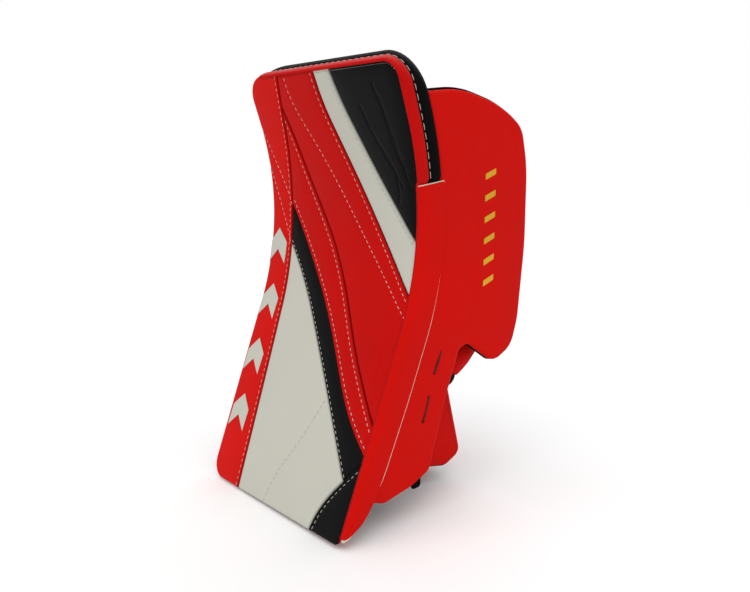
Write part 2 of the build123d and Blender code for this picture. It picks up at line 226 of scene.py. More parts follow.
def inside(outline, points):
    """Which points lie inside a closed outline."""
    a = outline
    b = np.roll(outline, -1, 0)
    x, y = points[:, 0][:, None], points[:, 1][:, None]
    crosses = (a[:, 1] > y) != (b[:, 1] > y)
    level = np.where(b[:, 1] == a[:, 1], 1, b[:, 1] - a[:, 1])
    at = a[:, 0] + (y - a[:, 1]) / level * (b[:, 0] - a[:, 0])
    return (crosses & (x < at)).sum(1) % 2 == 1


def distance(points, line, closed=False):
    """Distance from each point to a polyline."""
    a = line if closed else line[:-1]
    b = np.roll(line, -1, 0) if closed else line[1:]
    d = b - a
    square = np.maximum((d * d).sum(1), 1e-12)
    best = np.full(len(points), 1e9)
    for start in range(0, len(points), 4000):
        p = points[start:start + 4000, None]
        t = np.clip(((p - a) * d).sum(2) / square, 0, 1)
        q = a + t[..., None] * d - p
        best[start:start + 4000] = np.sqrt((q * q).sum(2).min(1))
    return best


def fill(outline, lines=(), loose=(), spacing=4.0, clear=0.6):
    """Triangles inside an outline, following lines, with loose points and an even grid."""
    fixed = [outline, *lines]
    verts = np.vstack(fixed)
    edges = [(i, (i + 1) % len(outline)) for i in range(len(outline))]
    first = len(outline)
    for line in fixed[1:]:
        edges += [(first + i, first + i + 1) for i in range(len(line) - 1)]
        first += len(line)
    low, high = outline.min(0), outline.max(0)
    rows = np.arange(low[1], high[1], spacing * 0.866)
    grid = [
        (x + (k % 2) * spacing / 2, y)
        for k, y in enumerate(rows)
        for x in np.arange(low[0], high[0], spacing)
    ]
    wanted = [(np.array(grid), spacing * 0.6)]
    if len(loose):
        wanted.insert(0, (np.vstack(loose), clear))
    for extra, gap in wanted:
        extra = extra[inside(outline, extra)]
        tree = kdtree.KDTree(len(verts))
        for i, v in enumerate(verts):
            tree.insert((v[0], v[1], 0), i)
        tree.balance()
        kept = [v for v in extra if tree.find((v[0], v[1], 0))[2] > gap]
        if kept:
            verts = np.vstack([verts, thin_out(np.array(kept), gap)])
    made = delaunay_2d_cdt([Vector(v) for v in verts], edges, [], 0, 1e-5)
    points = np.array([(v[0], v[1]) for v in made[0]])
    faces = np.array([f for f in made[2] if len(f) == 3])
    keep = inside(outline, points[faces].mean(1))
    a, b, c = (points[faces[:, k]] for k in range(3))
    area = (b[:, 0] - a[:, 0]) * (c[:, 1] - a[:, 1]) - (b[:, 1] - a[:, 1]) * (c[:, 0] - a[:, 0])
    faces[area < 0] = faces[area < 0][:, ::-1]
    return points, faces[keep & (abs(area) > 1e-7)]


def thin_out(points, gap):
    """Drop points that fall in a cell already taken, so that none crowd."""
    seen = set()
    kept = []
    for p in points:
        key = (int(p[0] // gap), int(p[1] // gap))
        if key not in seen:
            seen.add(key)
            kept.append(p)
    return np.array(kept)


# ---------------------------------------------------------------- board coordinates

def board_angle(s):
    return (np.clip(s, RUN, BEND_END) - RUN) / BEND - LEAN


def on_board(x, s, t):
    """Point at x across, s up the face and t behind it."""
    x, s, t = np.broadcast_arrays(*(np.asarray(v, float) for v in (x, s, t)))
    angle = board_angle(s)
    beyond = s - np.clip(s, RUN, BEND_END)
    y = BEND_Y + (BEND + t) * np.cos(angle) - beyond * np.sin(angle)
    z = BEND_Z + (BEND + t) * np.sin(angle) + beyond * np.cos(angle)
    return np.stack([x, y, z], -1)


def board_front(s):
    """Unit normal out of the front face."""
    angle = board_angle(np.asarray(s, float))
    return np.stack([0 * angle, -np.cos(angle), -np.sin(angle)], -1)


# ---------------------------------------------------------------- making pieces

def mesh_object(name, points, faces):
    mesh = bpy.data.meshes.new(name)
    mesh.from_pydata((np.asarray(points, float) * MM).tolist(), [], [list(map(int, f)) for f in faces])
    mesh.validate()
    mesh.polygons.foreach_set("use_smooth", [True] * len(mesh.polygons))
    mesh.update()
    made = bpy.data.objects.new(name, mesh)
    bpy.context.scene.collection.objects.link(made)
    return made


def piece(obj, material, slot, body=ROOT, replaces=(), joint=None):
    """Give a mesh its material and hide the CAD nodes it stands for. The slot is not used.

    Without a joint it is attached to its body. A joint is the body before it and two (x, y, z) places; with
    one, the mesh's transform is baked in instead, and it is neither attached nor bent."""
    obj.data.materials.clear()
    obj.data.materials.append(material)
    if joint:
        before, start, end = joint
        tuple(v * MM for v in start)
        tuple(v * MM for v in end)
        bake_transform(obj)
    else:
        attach(obj, body)
    if replaces:
        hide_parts(*replaces)
    return obj


def thicken(obj, thickness):
    """Close a sheet into a layer of leather or cloth, growing behind its front."""
    made = obj.modifiers.new("thickness", "SOLIDIFY")
    made.thickness = thickness * MM
    made.offset = -1
    return obj


def grid_faces(rows, columns, closed_rows=False, closed_columns=False):
    """Quads over a rows by columns grid of points."""
    faces = []
    for i in range(rows if closed_rows else rows - 1):
        for j in range(columns if closed_columns else columns - 1):
            here, there = i * columns, (i + 1) % rows * columns
            beside = (j + 1) % columns
            faces.append((here + j, here + beside, there + beside, there + j))
    return faces


def capped_faces(rows, columns):
    """Quads round a row of closed rings, with a face over each end ring."""
    ends = [tuple(range(columns))[::-1], tuple(range((rows - 1) * columns, rows * columns))]
    return grid_faces(rows, columns, closed_columns=True) + ends


def close_up(obj):
    """Point every face of a closed mesh outwards, and drop unused points."""
    shape = bmesh.new()
    shape.from_mesh(obj.data)
    bmesh.ops.delete(shape, geom=[v for v in shape.verts if not v.link_faces], context="VERTS")
    bmesh.ops.recalc_face_normals(shape, faces=shape.faces)
    shape.to_mesh(obj.data)
    shape.free()
    return obj


def pillow(name, outline, half, radius, place, spacing=5.0, dome=0.0, swell=12.0, dent=None):
    """Closed pad with rounded edges over a flat outline, set in space by place(points, height)."""
    rings = [inset(outline, radius * part) for part in (0.07, 0.2, 0.42, 0.7, 1.0, 1.7)]
    points, faces = fill(outline, loose=rings, spacing=spacing, clear=radius * 0.05)
    near = distance(points, outline, closed=True)
    rim = np.clip(1 - near / radius, 0, 1)
    height = half * np.sqrt(1 - rim ** 2) + dome * (1 - np.exp(-near / swell)) * (rim < 1)
    back = np.where(near < 0.001, np.arange(len(points)), np.arange(len(points)) + len(points))
    front = height + (dent(points) * (1 - rim) if dent else 0)
    verts = np.vstack([place(points, front), place(points, -height)])
    return close_up(mesh_object(name, verts, np.vstack([faces, back[faces][:, ::-1]])))


def flat_xz(y):
    """Place a pillow drawn in (x, z) at depth y, its front towards the palm."""
    return lambda p, h: np.stack([p[:, 0], y + h + 0 * p[:, 0], p[:, 1]], 1)


def flat_yz(x, turn=1):
    """Place a pillow drawn in (y, z) at x, its front towards the thumb side if turn is 1."""
    return lambda p, h: np.stack([x + turn * h + 0 * p[:, 0], p[:, 0], p[:, 1]], 1)


def tube(name, path, radius, sides=10, closed=False):
    """Round tube along a path, capped at both ends unless it is closed."""
    path = np.asarray(path, float)
    ahead = units(np.roll(path, -1, 0) - np.roll(path, 1, 0) if closed else np.gradient(path, axis=0))
    side = np.cross(ahead[0], [0.31, 0.52, 0.79])
    points = []
    for hub, way in zip(path, ahead):
        side = units(side - way * (side @ way))
        other = np.cross(way, side)
        for angle in np.arange(sides) * 2 * math.pi / sides:
            points.append(hub + radius * (math.cos(angle) * side + math.sin(angle) * other))
    count = len(path)
    faces = grid_faces(count, sides, True, True) if closed else capped_faces(count, sides)
    return close_up(mesh_object(name, points, faces))


# Frames of cloth simulation, after which a pad has swollen to its shape.
SWELL_FRAMES = 20


def inflate(obj, voxel, pressure, cap):
    """Let a closed pad swell like stuffed cloth, with no point moving further than cap."""
    remesh = obj.modifiers.new("remesh", "REMESH")
    remesh.mode = "VOXEL"
    remesh.voxel_size = voxel * MM
    settle(obj)
    start = np.empty(len(obj.data.vertices) * 3)
    obj.data.vertices.foreach_get("co", start)
    start = start.reshape(-1, 3)
    cloth = obj.modifiers.new("cloth", "CLOTH")
    cloth.settings.use_pressure = True
    cloth.settings.uniform_pressure_force = pressure
    cloth.settings.effector_weights.gravity = 0
    cloth.settings.quality = 6
    scene = bpy.context.scene
    for number in range(1, SWELL_FRAMES + 1):
        scene.frame_set(number)
    swollen = obj.evaluated_get(bpy.context.evaluated_depsgraph_get())
    moved = np.empty(len(start) * 3)
    swollen.data.vertices.foreach_get("co", moved)
    obj.modifiers.remove(cloth)
    scene.frame_set(1)
    shift = moved.reshape(-1, 3) - start
    far = np.linalg.norm(shift, axis=1)
    shift *= (np.minimum(far, cap * MM) / np.maximum(far, 1e-9))[:, None]
    obj.data.vertices.foreach_set("co", (start + shift).ravel())
    obj.data.update()
    obj.modifiers.new("smooth", "SUBSURF").levels = 1
    obj.modifiers["smooth"].render_levels = 1
    settle(obj)
    return obj


def settle(obj):
    """Make what an object's modifiers show into its own mesh."""
    shown = obj.evaluated_get(bpy.context.evaluated_depsgraph_get())
    mesh = bpy.data.meshes.new_from_object(shown)
    obj.modifiers.clear()
    old = obj.data
    obj.data = mesh
    bpy.data.meshes.remove(old)
    mesh.polygons.foreach_set("use_smooth", [True] * len(mesh.polygons))


def stitches(name, path, normals, material, slot, length=3.8, gap=1.5, radius=0.27, body=ROOT, lift=0.08):
    """A row of thread stitches that dive into the surface at each end."""
    path = np.asarray(path, float)
    normals = np.broadcast_to(np.asarray(normals, float), path.shape)
    along = run_along(path)
    points, faces = [], []
    heights = (-0.35, 0.5 * lift, lift, 0.5 * lift, -0.35)
    girths = (0.55, 0.95, 1.0, 0.95, 0.55)
    sides = 6
    for start in np.arange(gap, along[-1] - length, length + gap):
        places = start + np.linspace(0, 1, len(heights)) * length
        centre = sample(path, along, places)
        normal = units(sample(normals, along, places))
        side = np.cross(units(centre[-1] - centre[0]), normal)
        first = len(points)
        for k, (height, girth) in enumerate(zip(heights, girths)):
            hub = centre[k] + normal[k] * height
            for angle in np.arange(sides) * 2 * math.pi / sides:
                spoke = math.cos(angle) * normal[k] + math.sin(angle) * side[k]
                points.append(hub + spoke * radius * girth)
        faces += [tuple(first + v for v in face) for face in capped_faces(len(heights), sides)]
    return piece(mesh_object(name, points, faces), material, slot, body)


# ---------------------------------------------------------------- materials

def shader_nodes(name):
    material = bpy.data.materials.new(name)
    material.use_nodes = True
    tree = material.node_tree
    return material, tree, tree.nodes["Principled BSDF"]


def add_node(tree, kind, **values):
    node = tree.nodes.new(kind)
    for key, value in values.items():
        if key.startswith("in_"):
            node.inputs[key[3:].replace("_", " ")].default_value = value
        else:
            setattr(node, key, value)
    return node


def tinted(tree, factor, colour, vary):
    """Output of a mix between a darker and a lighter shade of a colour."""
    tint = add_node(tree, "ShaderNodeMix", data_type="RGBA")
    tint.inputs["A"].default_value = (*[c * (1 - vary) for c in colour], 1)
    tint.inputs["B"].default_value = (*[min(1, c * (1 + vary)) for c in colour], 1)
    tree.links.new(factor, tint.inputs["Factor"])
    return tint.outputs["Result"]


def blended_height(tree, fine, share, coarse):
    """Output that adds a share of a fine texture to a coarse one."""
    mixed = add_node(tree, "ShaderNodeMath", operation="MULTIPLY_ADD")
    mixed.inputs[1].default_value = share
    tree.links.new(fine, mixed.inputs[0])
    tree.links.new(coarse, mixed.inputs[2])
    return mixed.outputs["Value"]


def add_bump(tree, shader, height, strength, distance):
    bump = add_node(tree, "ShaderNodeBump", in_Strength=strength, in_Distance=distance)
    tree.links.new(height, bump.inputs["Height"])
    tree.links.new(bump.outputs["Normal"], shader.inputs["Normal"])


def leather(name, colour, rough, grain, depth, vary=0.12, seam=0.55, gleam=0.04, sheen=0.0):
    """Coated leather: pebble grain, uneven gloss, cloudy colour and painted shade darkening the seams."""
    material, tree, shader = shader_nodes(name)
    link = tree.links.new
    place = add_node(tree, "ShaderNodeTexCoord")
    cloud = add_node(tree, "ShaderNodeTexNoise", in_Scale=14.0, in_Detail=5.0, in_Roughness=0.6)
    fine = add_node(tree, "ShaderNodeTexNoise", in_Scale=grain * 2.3, in_Detail=3.0)
    cells = add_node(tree, "ShaderNodeTexVoronoi", feature="F1", in_Scale=grain, in_Randomness=0.9)
    for node in (cloud, fine, cells):
        link(place.outputs["Object"], node.inputs["Vector"])
    # The seam attribute mixes the colour towards a copy darkened by the seam fraction: painted shade in the
    # seam grooves.
    groove = add_node(tree, "ShaderNodeAttribute", attribute_name="seam")
    seam_shade = add_node(tree, "ShaderNodeMix", data_type="RGBA")
    seam_shade.inputs["B"].default_value = (*[c * (1 - seam) for c in colour], 1)
    link(groove.outputs["Fac"], seam_shade.inputs["Factor"])
    link(tinted(tree, cloud.outputs["Fac"], colour, vary), seam_shade.inputs["A"])
    link(seam_shade.outputs["Result"], shader.inputs["Base Color"])
    gloss = add_node(tree, "ShaderNodeMapRange", in_From_Min=0.3, in_From_Max=0.7)
    gloss.inputs["To Min"].default_value = rough - MOTTLE
    gloss.inputs["To Max"].default_value = rough + MOTTLE
    link(cloud.outputs["Fac"], gloss.inputs["Value"])
    link(gloss.outputs["Result"], shader.inputs["Roughness"])
    height = blended_height(tree, fine.outputs["Fac"], 0.5, cells.outputs["Distance"])
    add_bump(tree, shader, height, depth, 0.0004)
    shader.inputs["Specular IOR Level"].default_value = gleam
    shader.inputs["Sheen Weight"].default_value = sheen
    return material


def woven(name, colour, pitch, depth, rough=0.85, vary=0.25, sheen=0.25):
    """Woven or knitted cloth: crossing ribs with fuzz between them."""
    material, tree, shader = shader_nodes(name)
    link = tree.links.new
    place = add_node(tree, "ShaderNodeTexCoord")
    cross = add_node(tree, "ShaderNodeMath", operation="MULTIPLY")
    for k, direction in enumerate(("X", "Z")):
        wave = add_node(tree, "ShaderNodeTexWave", in_Scale=1 / pitch, in_Distortion=0.6)
        wave.bands_direction = direction
        wave.inputs["Detail Scale"].default_value = 3.0
        link(place.outputs["Object"], wave.inputs["Vector"])
        link(wave.outputs["Fac"], cross.inputs[k])
    fuzz = add_node(tree, "ShaderNodeTexNoise", in_Scale=900.0, in_Detail=4.0)
    link(place.outputs["Object"], fuzz.inputs["Vector"])
    height = blended_height(tree, fuzz.outputs["Fac"], 0.4, cross.outputs["Value"])
    link(tinted(tree, height, colour, vary), shader.inputs["Base Color"])
    add_bump(tree, shader, height, depth, 0.0005)
    shader.inputs["Roughness"].default_value = rough
    shader.inputs["Sheen Weight"].default_value = sheen
    return material


# How far a leather's roughness strays from its middle value.
MOTTLE = 0.08
RED = (0.47, 0.003, 0.002)
GUARD_RED = (0.54, 0.004, 0.002)
STRIP_RED = (0.55, 0.006, 0.004)
WHITE = (0.49, 0.485, 0.42)
BLACK = (0.003, 0.003, 0.0031)
GREY = (0.085, 0.085, 0.092)

red_front = leather("red_front_leather", RED, 0.46, 1500, 0.22)
red_strip = leather("red_strip_leather", STRIP_RED, 0.52, 1500, 0.20)
red_matte = leather("red_matte_leather", GUARD_RED, 0.62, 1900, 0.16)
white_leather = leather("white_leather", WHITE, 0.50, 1300, 0.16, vary=0.04, seam=0.45)
black_leather = leather("black_leather", BLACK, 0.42, 1200, 0.30, vary=0.2, seam=0.4, gleam=0.06)
black_matte = leather("black_matte_leather", BLACK, 0.55, 1500, 0.25, vary=0.2, seam=0.4, gleam=0.025)
raw_edge = leather("ivory_raw_edge", (0.62, 0.56, 0.44), 0.8, 2500, 0.5, vary=0.15)
white_thread = woven("white_thread", (0.62, 0.60, 0.50), 0.0011, 0.6, vary=0.12)
grey_thread = woven("grey_thread", (0.36, 0.35, 0.30), 0.0011, 0.6, vary=0.12)
red_thread = woven("red_thread", (0.33, 0.003, 0.002), 0.0011, 0.6, sheen=0.0)
# Near-black colour for bumps standing in for stitch holes: painted shade inside the holes.
painted_hole_shade = woven("painted_hole_shade", (0.006, 0.004, 0.004), 0.0011, 0.6, sheen=0.0)
black_knit = woven("black_knit", (0.013, 0.013, 0.015), 0.0016, 0.7)
black_webbing = woven("black_webbing", (0.014, 0.014, 0.016), 0.0022, 1.0)
suede = leather("grey_suede", GREY, 0.9, 2600, 0.35, vary=0.22, sheen=0.35, gleam=0.1)
maroon_cord = woven("maroon_cord", (0.075, 0.003, 0.004), 0.0011, 0.8, vary=0.3, sheen=0.0)
gold_print = leather("gold_print", (0.60, 0.33, 0.018), 0.38, 900, 0.15, vary=0.25, gleam=0.12)
hook_cloth = woven("hook_and_loop", (0.02, 0.02, 0.022), 0.0012, 1.0, rough=0.95, sheen=0.5)
tab_rubber = leather("tab_rubber", (0.02, 0.02, 0.021), 0.6, 700, 0.12, vary=0.2)
foam_bulk = leather("foam_bulk", (0.25, 0.25, 0.27), 0.9, 800, 0.5, vary=0.1)
plastic_plate = leather("plastic_plate", (0.55, 0.55, 0.57), 0.45, 500, 0.05, vary=0.05)


# ---------------------------------------------------------------- board front cover

# The cover's edge lies FRONT_INSET inside the board's and rolls back by a radius, which is
# larger where the cover wraps round the board instead of meeting the binding.
FRONT_INSET = 0.9
PLAIN_ROLL = 1.2
WRAPPED_ROLL = 2.0
TOP_OVERLAP = 2.2
BOARD_CORNERS = [
    (-93.5, -2.2), (HALF_WIDTH, -0.8), (HALF_WIDTH, LENGTH + TOP_OVERLAP),
    (-HALF_WIDTH, LENGTH + TOP_OVERLAP), (-HALF_WIDTH, 215),
]

SEAMS = {
    "strip": [(-47, -6), (-62, 150), (-69.5, 250), (-66, 312), (-51, 390)],
    "corner": [(59, -6), (64, 14), (83, 46), (104, 73)],
    "stripe_low": [(-70, 231), (8, 139), (84, 45)],
    "stripe_high": [(-70, 268), (-40, 226), (26, 146), (72, 91), (104, 66)],
    "band": [(-58, 352), (-41, 296), (-5, 236), (52, 149), (104, 88)],
    "white_low": [(-1, 390), (2, 358), (29, 291), (62, 242), (104, 192)],
    "white_high": [(19, 390), (27, 355), (53, 298), (104, 235)],
}
seam_lines = {name: smooth_curve(points) for name, points in SEAMS.items()}
# The board's corner radii at its front face, where the binding ends and at its back.
LAYER_RADII = [(17, 11, 15, 22, 600), (20, 12, 23, 26, 600), (22, 14, 34, 38, 600)]
layer_outlines = [matched(BOARD_CORNERS, radii) for radii in LAYER_RADII]
board_outline = resample(layer_outlines[0], 1.5, closed=True)


def wraps(points):
    """1 where the cover wraps round the board's edge, at the wrist end and outer side, else 0."""
    x, s = points[:, 0], points[:, 1]
    outer = soft_below(x + np.where(s > 362, 79, 84), 3)
    wrist = soft_below(s - 13, 2) * soft_below(x - 97, 1.2)
    return np.clip(outer + wrist, 0, 1)


def cover_roll(points):
    """How far back the cover has gone where it rolls round the board's edge."""
    radius = PLAIN_ROLL + (WRAPPED_ROLL - PLAIN_ROLL) * wraps(points)
    near = distance(points, board_outline, closed=True)
    return radius - np.sqrt(np.clip(radius ** 2 - np.clip(radius - near, 0, None) ** 2, 0, None))


front_outline = inset(board_outline, (FRONT_INSET * (1 - wraps(board_outline)))[:, None])


def beside_strip(points):
    """How far each point is to the thumb side of the strip seam."""
    line = seam_lines["strip"]
    return points[:, 0] - np.interp(points[:, 1], line[:, 1], line[:, 0])


def above(name, points):
    """How far each point is above a seam, measured along S."""
    line = seam_lines[name]
    return points[:, 1] - np.interp(points[:, 0], line[:, 0], line[:, 1])


def clip_line(line, *tests):
    """Keep the points of a line that pass every test, and lie inside the front cover."""
    keep = inside(front_outline, line)
    for test in tests:
        keep &= test(line)
    return line[keep]


def right_of_strip(points):
    return beside_strip(points) > 0


def clear_of_corner(points):
    return above("corner", points) > 0


SEAM_LIMITS = {
    "stripe_low": (right_of_strip, clear_of_corner),
    "stripe_high": (right_of_strip, clear_of_corner),
    "band": (right_of_strip,),
}
real_seams = {name: clip_line(line, *SEAM_LIMITS.get(name, ())) for name, line in seam_lines.items()}
# Seams whose upper panel is folded over the lower one. The others are folded the other way.
FOLDED_ABOVE = ("stripe_low", "stripe_high")


def beside(name, offset, *tests):
    """A line beside a seam: positive offsets are above it or to its thumb side."""
    line = seam_lines[name]
    normal = side_normals(line)
    if name == "strip":
        normal = -normal
    return clip_line(line + normal * offset, *tests)


# Topstitch rows: each row's name, path and thread.
centre_row = smooth_curve([(-44, 390), (-41, 364), (-20, 320), (28, 253), (101, 179)])
strip_row_high = smooth_curve([(-104, 344), (-89, 306), (-76, 279), (-69.5, 264)])
strip_row_low = smooth_curve([(-104, 311), (-88, 268), (-76, 242), (-69, 227)])
white_row = smooth_curve([(36, 102), (17, 57), (-1, 20), (-7, -4)])
topstitch = {
    "strip_topstitch": (beside("strip", -3.0), white_thread),
    "band_topstitch": (beside("band", -4.5, right_of_strip), white_thread),
    "centre_topstitch": (clip_line(centre_row, right_of_strip), white_thread),
    "red_border_topstitch": (beside("white_low", -4.2, right_of_strip), white_thread),
    "white_border_topstitch": (beside("white_high", -3.2), grey_thread),
    "stripe_topstitch": (beside("stripe_low", 2.4, right_of_strip, clear_of_corner), white_thread),
    "stripe_high_topstitch": (beside("stripe_high", 4.0, right_of_strip, clear_of_corner), white_thread),
    "corner_topstitch": (beside("corner", -3.6), white_thread),
    "strip_crossing_high": (clip_line(strip_row_high), white_thread),
    "strip_crossing_low": (clip_line(strip_row_low), white_thread),
    "white_panel_topstitch": (clip_line(white_row), grey_thread),
}
edge_row = inset(front_outline, 2.2)
edge_row = edge_row[(edge_row[:, 1] > STRIP_TOP) & (wraps(edge_row) < 0.3)]
creases = [
    smooth_curve([(70, 366), (75.5, 342), (79, 320), (89, 295)]),
    smooth_curve([(50, 350), (59, 325), (69, 309), (84, 286)]),
    smooth_curve([(74, 356), (78.5, 333), (84, 309), (93, 284)]),
    smooth_curve([(78, 294), (79.5, 284), (79.5, 274)]),
]
flap_crease = smooth_curve([(84, 187), (92, 180.5), (100.5, 173)])
flap_valley = smooth_curve([(84.5, 185), (87.5, 154), (90, 122), (98, 92)])


def front_height(points):
    """Height of the cover over the board's face, and how deep in a seam each point is, which sets the painted
    shade in the seams.
    """
    height = -cover_roll(points)
    edge = distance(points, front_outline, closed=True)
    near = np.where(wraps(points) > 0.5, 99, edge)
    for name, line in real_seams.items():
        gap = distance(points, line)
        near = np.minimum(near, gap)
        side = beside_strip(points) if name == "strip" else above(name, points)
        over = side > 0 if name in FOLDED_ABOVE else side < 0
        height += np.where(over, 0.55 * bell(gap - 1.7, 1.4), -0.35 * bell(gap, 2.4))
    height -= 1.15 * bell(near, 0.6)
    height += 1.1 * (1 - np.exp(-np.minimum(near, edge) / 11))
    thumb_side = ramp(points[:, 1], 120, 200) * ramp(points[:, 0], 40, 80)
    height -= 1.9 * thumb_side * np.clip(1 - edge / 13, 0, 1) ** 2
    dips = [(path, 0.38, 0.9) for path, _ in topstitch.values()]
    dips += [(line, 0.5, 0.7) for line in creases]
    dips += [(flap_crease, 0.6, 0.7), (flap_valley, 0.5, 2.0)]
    for line, deep, width in dips:
        height -= deep * bell(distance(points, line), width)
    return height, bell(near, 0.9)


def front_surface(points, height):
    return on_board(points[:, 0], points[:, 1], -height)


PANELS = [
    ("outer_strip_cover", "outer_strip_panel", red_strip, "red_leather"),
    ("lower_corner_cover", "lower_corner_panel", black_leather, "black_leather"),
    ("white_lower_cover", "white_lower_panel", white_leather, "white_leather"),
    ("black_stripe_cover", "black_stripe_panel", black_leather, "black_leather"),
    ("curved_band_cover", "curved_band_panel", red_front, "red_leather"),
    ("centre_cover", "centre_panel", red_front, "red_leather"),
    ("white_stripe_cover", "white_stripe_panel", white_leather, "white_leather"),
    ("upper_corner_cover", "upper_corner_panel", black_leather, "black_leather"),
]


def panel_index(centres):
    """Which panel each triangle belongs to, in the order of PANELS."""
    index = np.full(len(centres), len(PANELS) - 1)
    for k, name in reversed(list(enumerate(SEAMS))[1:]):
        index[above(name, centres) < 0] = k
    index[beside_strip(centres) < 0] = 0
    return index


def cover_mesh():
    """Flat points and triangles of the whole cover, close together along seams and rows."""
    loose = []
    for name in real_seams:
        for offset in (0.4, 0.85, 1.4, 2.1, 3.0):
            loose += [beside(name, offset), beside(name, -offset)]
    loose += [inset(front_outline, by) for by in (0.15, 0.5, 1.0, 1.7, 2.6, 3.8, 5.4, 7.5)]
    for row in [path for path, _ in topstitch.values()] + creases + [flap_crease]:
        loose += [row + side_normals(row) * offset for offset in (0, 0.7, -0.7, 1.4, -1.4)]
    return fill(front_outline, list(real_seams.values()), loose, spacing=3.2, clear=0.34)


def build_panels():
    points, faces = cover_mesh()
    height, depth = front_height(points)
    surface = front_surface(points, height)
    index = panel_index(points[faces].mean(1))
    for k, (name, node, material, slot) in enumerate(PANELS):
        used, renumbered = np.unique(faces[index == k], return_inverse=True)
        obj = mesh_object(name, surface[used], renumbered.reshape(-1, 3))
        # The seam attribute sets where the leather paints shade into the seams and along the cover's edge.
        seam = obj.data.attributes.new("seam", "FLOAT", "POINT")
        seam.data.foreach_set("value", depth[used].astype(np.float32))
        thicken(obj, COVER_LEATHER)
        piece(obj, material, slot, replaces=[node])


def cover_stitches(name, path, *args, **kwargs):
    """A row of stitches along a flat path on the cover."""
    surface = front_surface(path, front_height(path)[0])
    stitches(name, surface, board_front(path[:, 1]), *args, **kwargs)


def build_cover_rows():
    over_black = above("white_high", edge_row) > 0
    at_top = edge_row[:, 1] > LENGTH - 8
    # The front edge holes are black bumps: painted shade in the holes.
    rows = (("front_edge_holes", ~over_black, painted_hole_shade), ("front_edge_dots", over_black, grey_thread))
    for name, chosen, thread in rows:
        path = resample(edge_row[chosen & at_top], 0.7)
        cover_stitches(name, path, thread, "lace_cord", length=1.1, gap=1.6, radius=0.3)
    for name, (path, thread) in topstitch.items():
        slot = "white_leather" if thread is white_thread else "lace_cord"
        cover_stitches(name, resample(path, 1.0), thread, slot)


build_panels()
build_cover_rows()


# ---------------------------------------------------------------- board walls

def bottom_roll(t):
    """How far up the face the wrist end starts at each depth: it rolls up towards the back."""
    return np.interp(t, (0, 3, 6, 12, 16, 20, 23, 25.5), (0, 3.5, 6.5, 13.5, 19.5, 27.5, 34, 40))


def mixed_outline(depth):
    """The board's outline with each point at its own depth: corners grow towards the back."""
    front, middle, rear = layer_outlines
    first = ramp(depth, 0, 12)[:, None]
    second = ramp(depth, 12, 23)[:, None]
    return front * (1 - first) + middle * (first - second) + rear * second


def end_lift(s, depth):
    """How far up the face the board's edge moves with depth, at its wrist end and finger end."""
    return ramp(s, 150, 0) * bottom_roll(depth) + ramp(s, TOP_START, LENGTH) * TOP_SLANT * depth


def wrist_taper(s, t):
    """Real depth of what is drawn at depth t: the board thins towards its wrist end."""
    return t - 4.0 * np.clip((t - 12) / 13, 0, None) * ramp(s, 115, 40)


def wall(name, tight, wide, material, slot, replaces):
    """Sweep a cross-section, as (out, depth) points, round the board's outline."""
    share = wraps(layer_outlines[0])[:, None, None]
    sections = [resample(smooth_curve(profile, 0.5), 0.8) for profile in (tight, wide)]
    count = max(len(section) for section in sections)
    level = np.linspace(0, 1, count)
    tight, wide = (sample(section, np.linspace(0, 1, len(section)), level) for section in sections)
    section = tight * (1 - share) + wide * share
    out, depth = section[..., 0], section[..., 1]
    layers = [mixed_outline(depth[:, k]) for k in range(count)]
    x, s = np.empty_like(out), np.empty_like(out)
    for k, layer in enumerate(layers):
        away = outward(layer)
        under_strip = (away[:, 0] > 0.9) & (layer[:, 1] < STRIP_TOP + 3)
        reach = out[:, k] - STRIP_BULK * under_strip
        x[:, k], s[:, k] = (layer + away * reach[:, None]).T
    s += end_lift(s, depth)
    points = on_board(x, s, wrist_taper(s, depth)).reshape(-1, 3)
    made = mesh_object(name, points, grid_faces(len(share), count, closed_rows=True))
    piece(thicken(made, WALL_LEATHER), material, slot, replaces=replaces)


def build_walls():
    binding = [
        (-1.9, 1.2), (-1.4, -0.2), (-0.5, -0.7), (0.5, 0.1), (1.1, 2.0), (1.3, 5.5), (1.1, 9.2), (0.3, 11.2),
        (-1.2, 12.1),
    ]
    wrapped = [
        (-1.4, 2.6), (-0.6, 2.7), (0.2, 3.3), (0.8, 4.6), (1.1, 6.4), (1.1, 9.2), (0.6, 10.6), (-0.2, 11.6),
        (-1.2, 12.1),
    ]
    band = [
        (-1.6, 11.4), (-0.7, 12.0), (0.0, 12.8), (0.9, 14.0), (1.7, 16.8), (1.9, 20.3), (1.3, 23.2),
        (-0.3, 25.2), (-2.8, 26.0), (-6.5, 25.8), (-9.0, 24.8),
    ]
    wall("front_binding", binding, wrapped, red_front, "red_leather", ["front_edge_binding"])
    wall("rear_band", band, band, black_matte, "black_leather", ["rear_edge_band"])

def build_edge_topstitch():
    """Row of stitches round the wall, just behind the binding. The strip interrupts it."""
    row = resample(mixed_outline(np.full(len(layer_outlines[0]), EDGE_ROW_DEPTH)), 1.0, closed=True)
    lift = end_lift(row[:, 1], EDGE_ROW_DEPTH)
    points, ahead = (on_board(x, s + lift, EDGE_ROW_DEPTH) for x, s in (row.T, (row + outward(row)).T))
    on_side = row[:, 0] > HALF_WIDTH - 0.5
    past_strip = row[:, 1] > STRIP_TOP + 2
    first = int(np.nonzero(on_side & past_strip)[0][0])
    order = np.roll(np.arange(len(row)), -first)
    order = order[~(on_side & ~past_strip)[order]]
    points, out = points[order], (ahead - points)[order]
    stitches(
        "edge_topstitch", points + out * 0.22, out, white_thread, "white_leather",
        length=6.4, gap=1.1, radius=0.28,
    )


build_walls()
build_edge_topstitch()


# ---------------------------------------------------------------- strip over the thumb wall

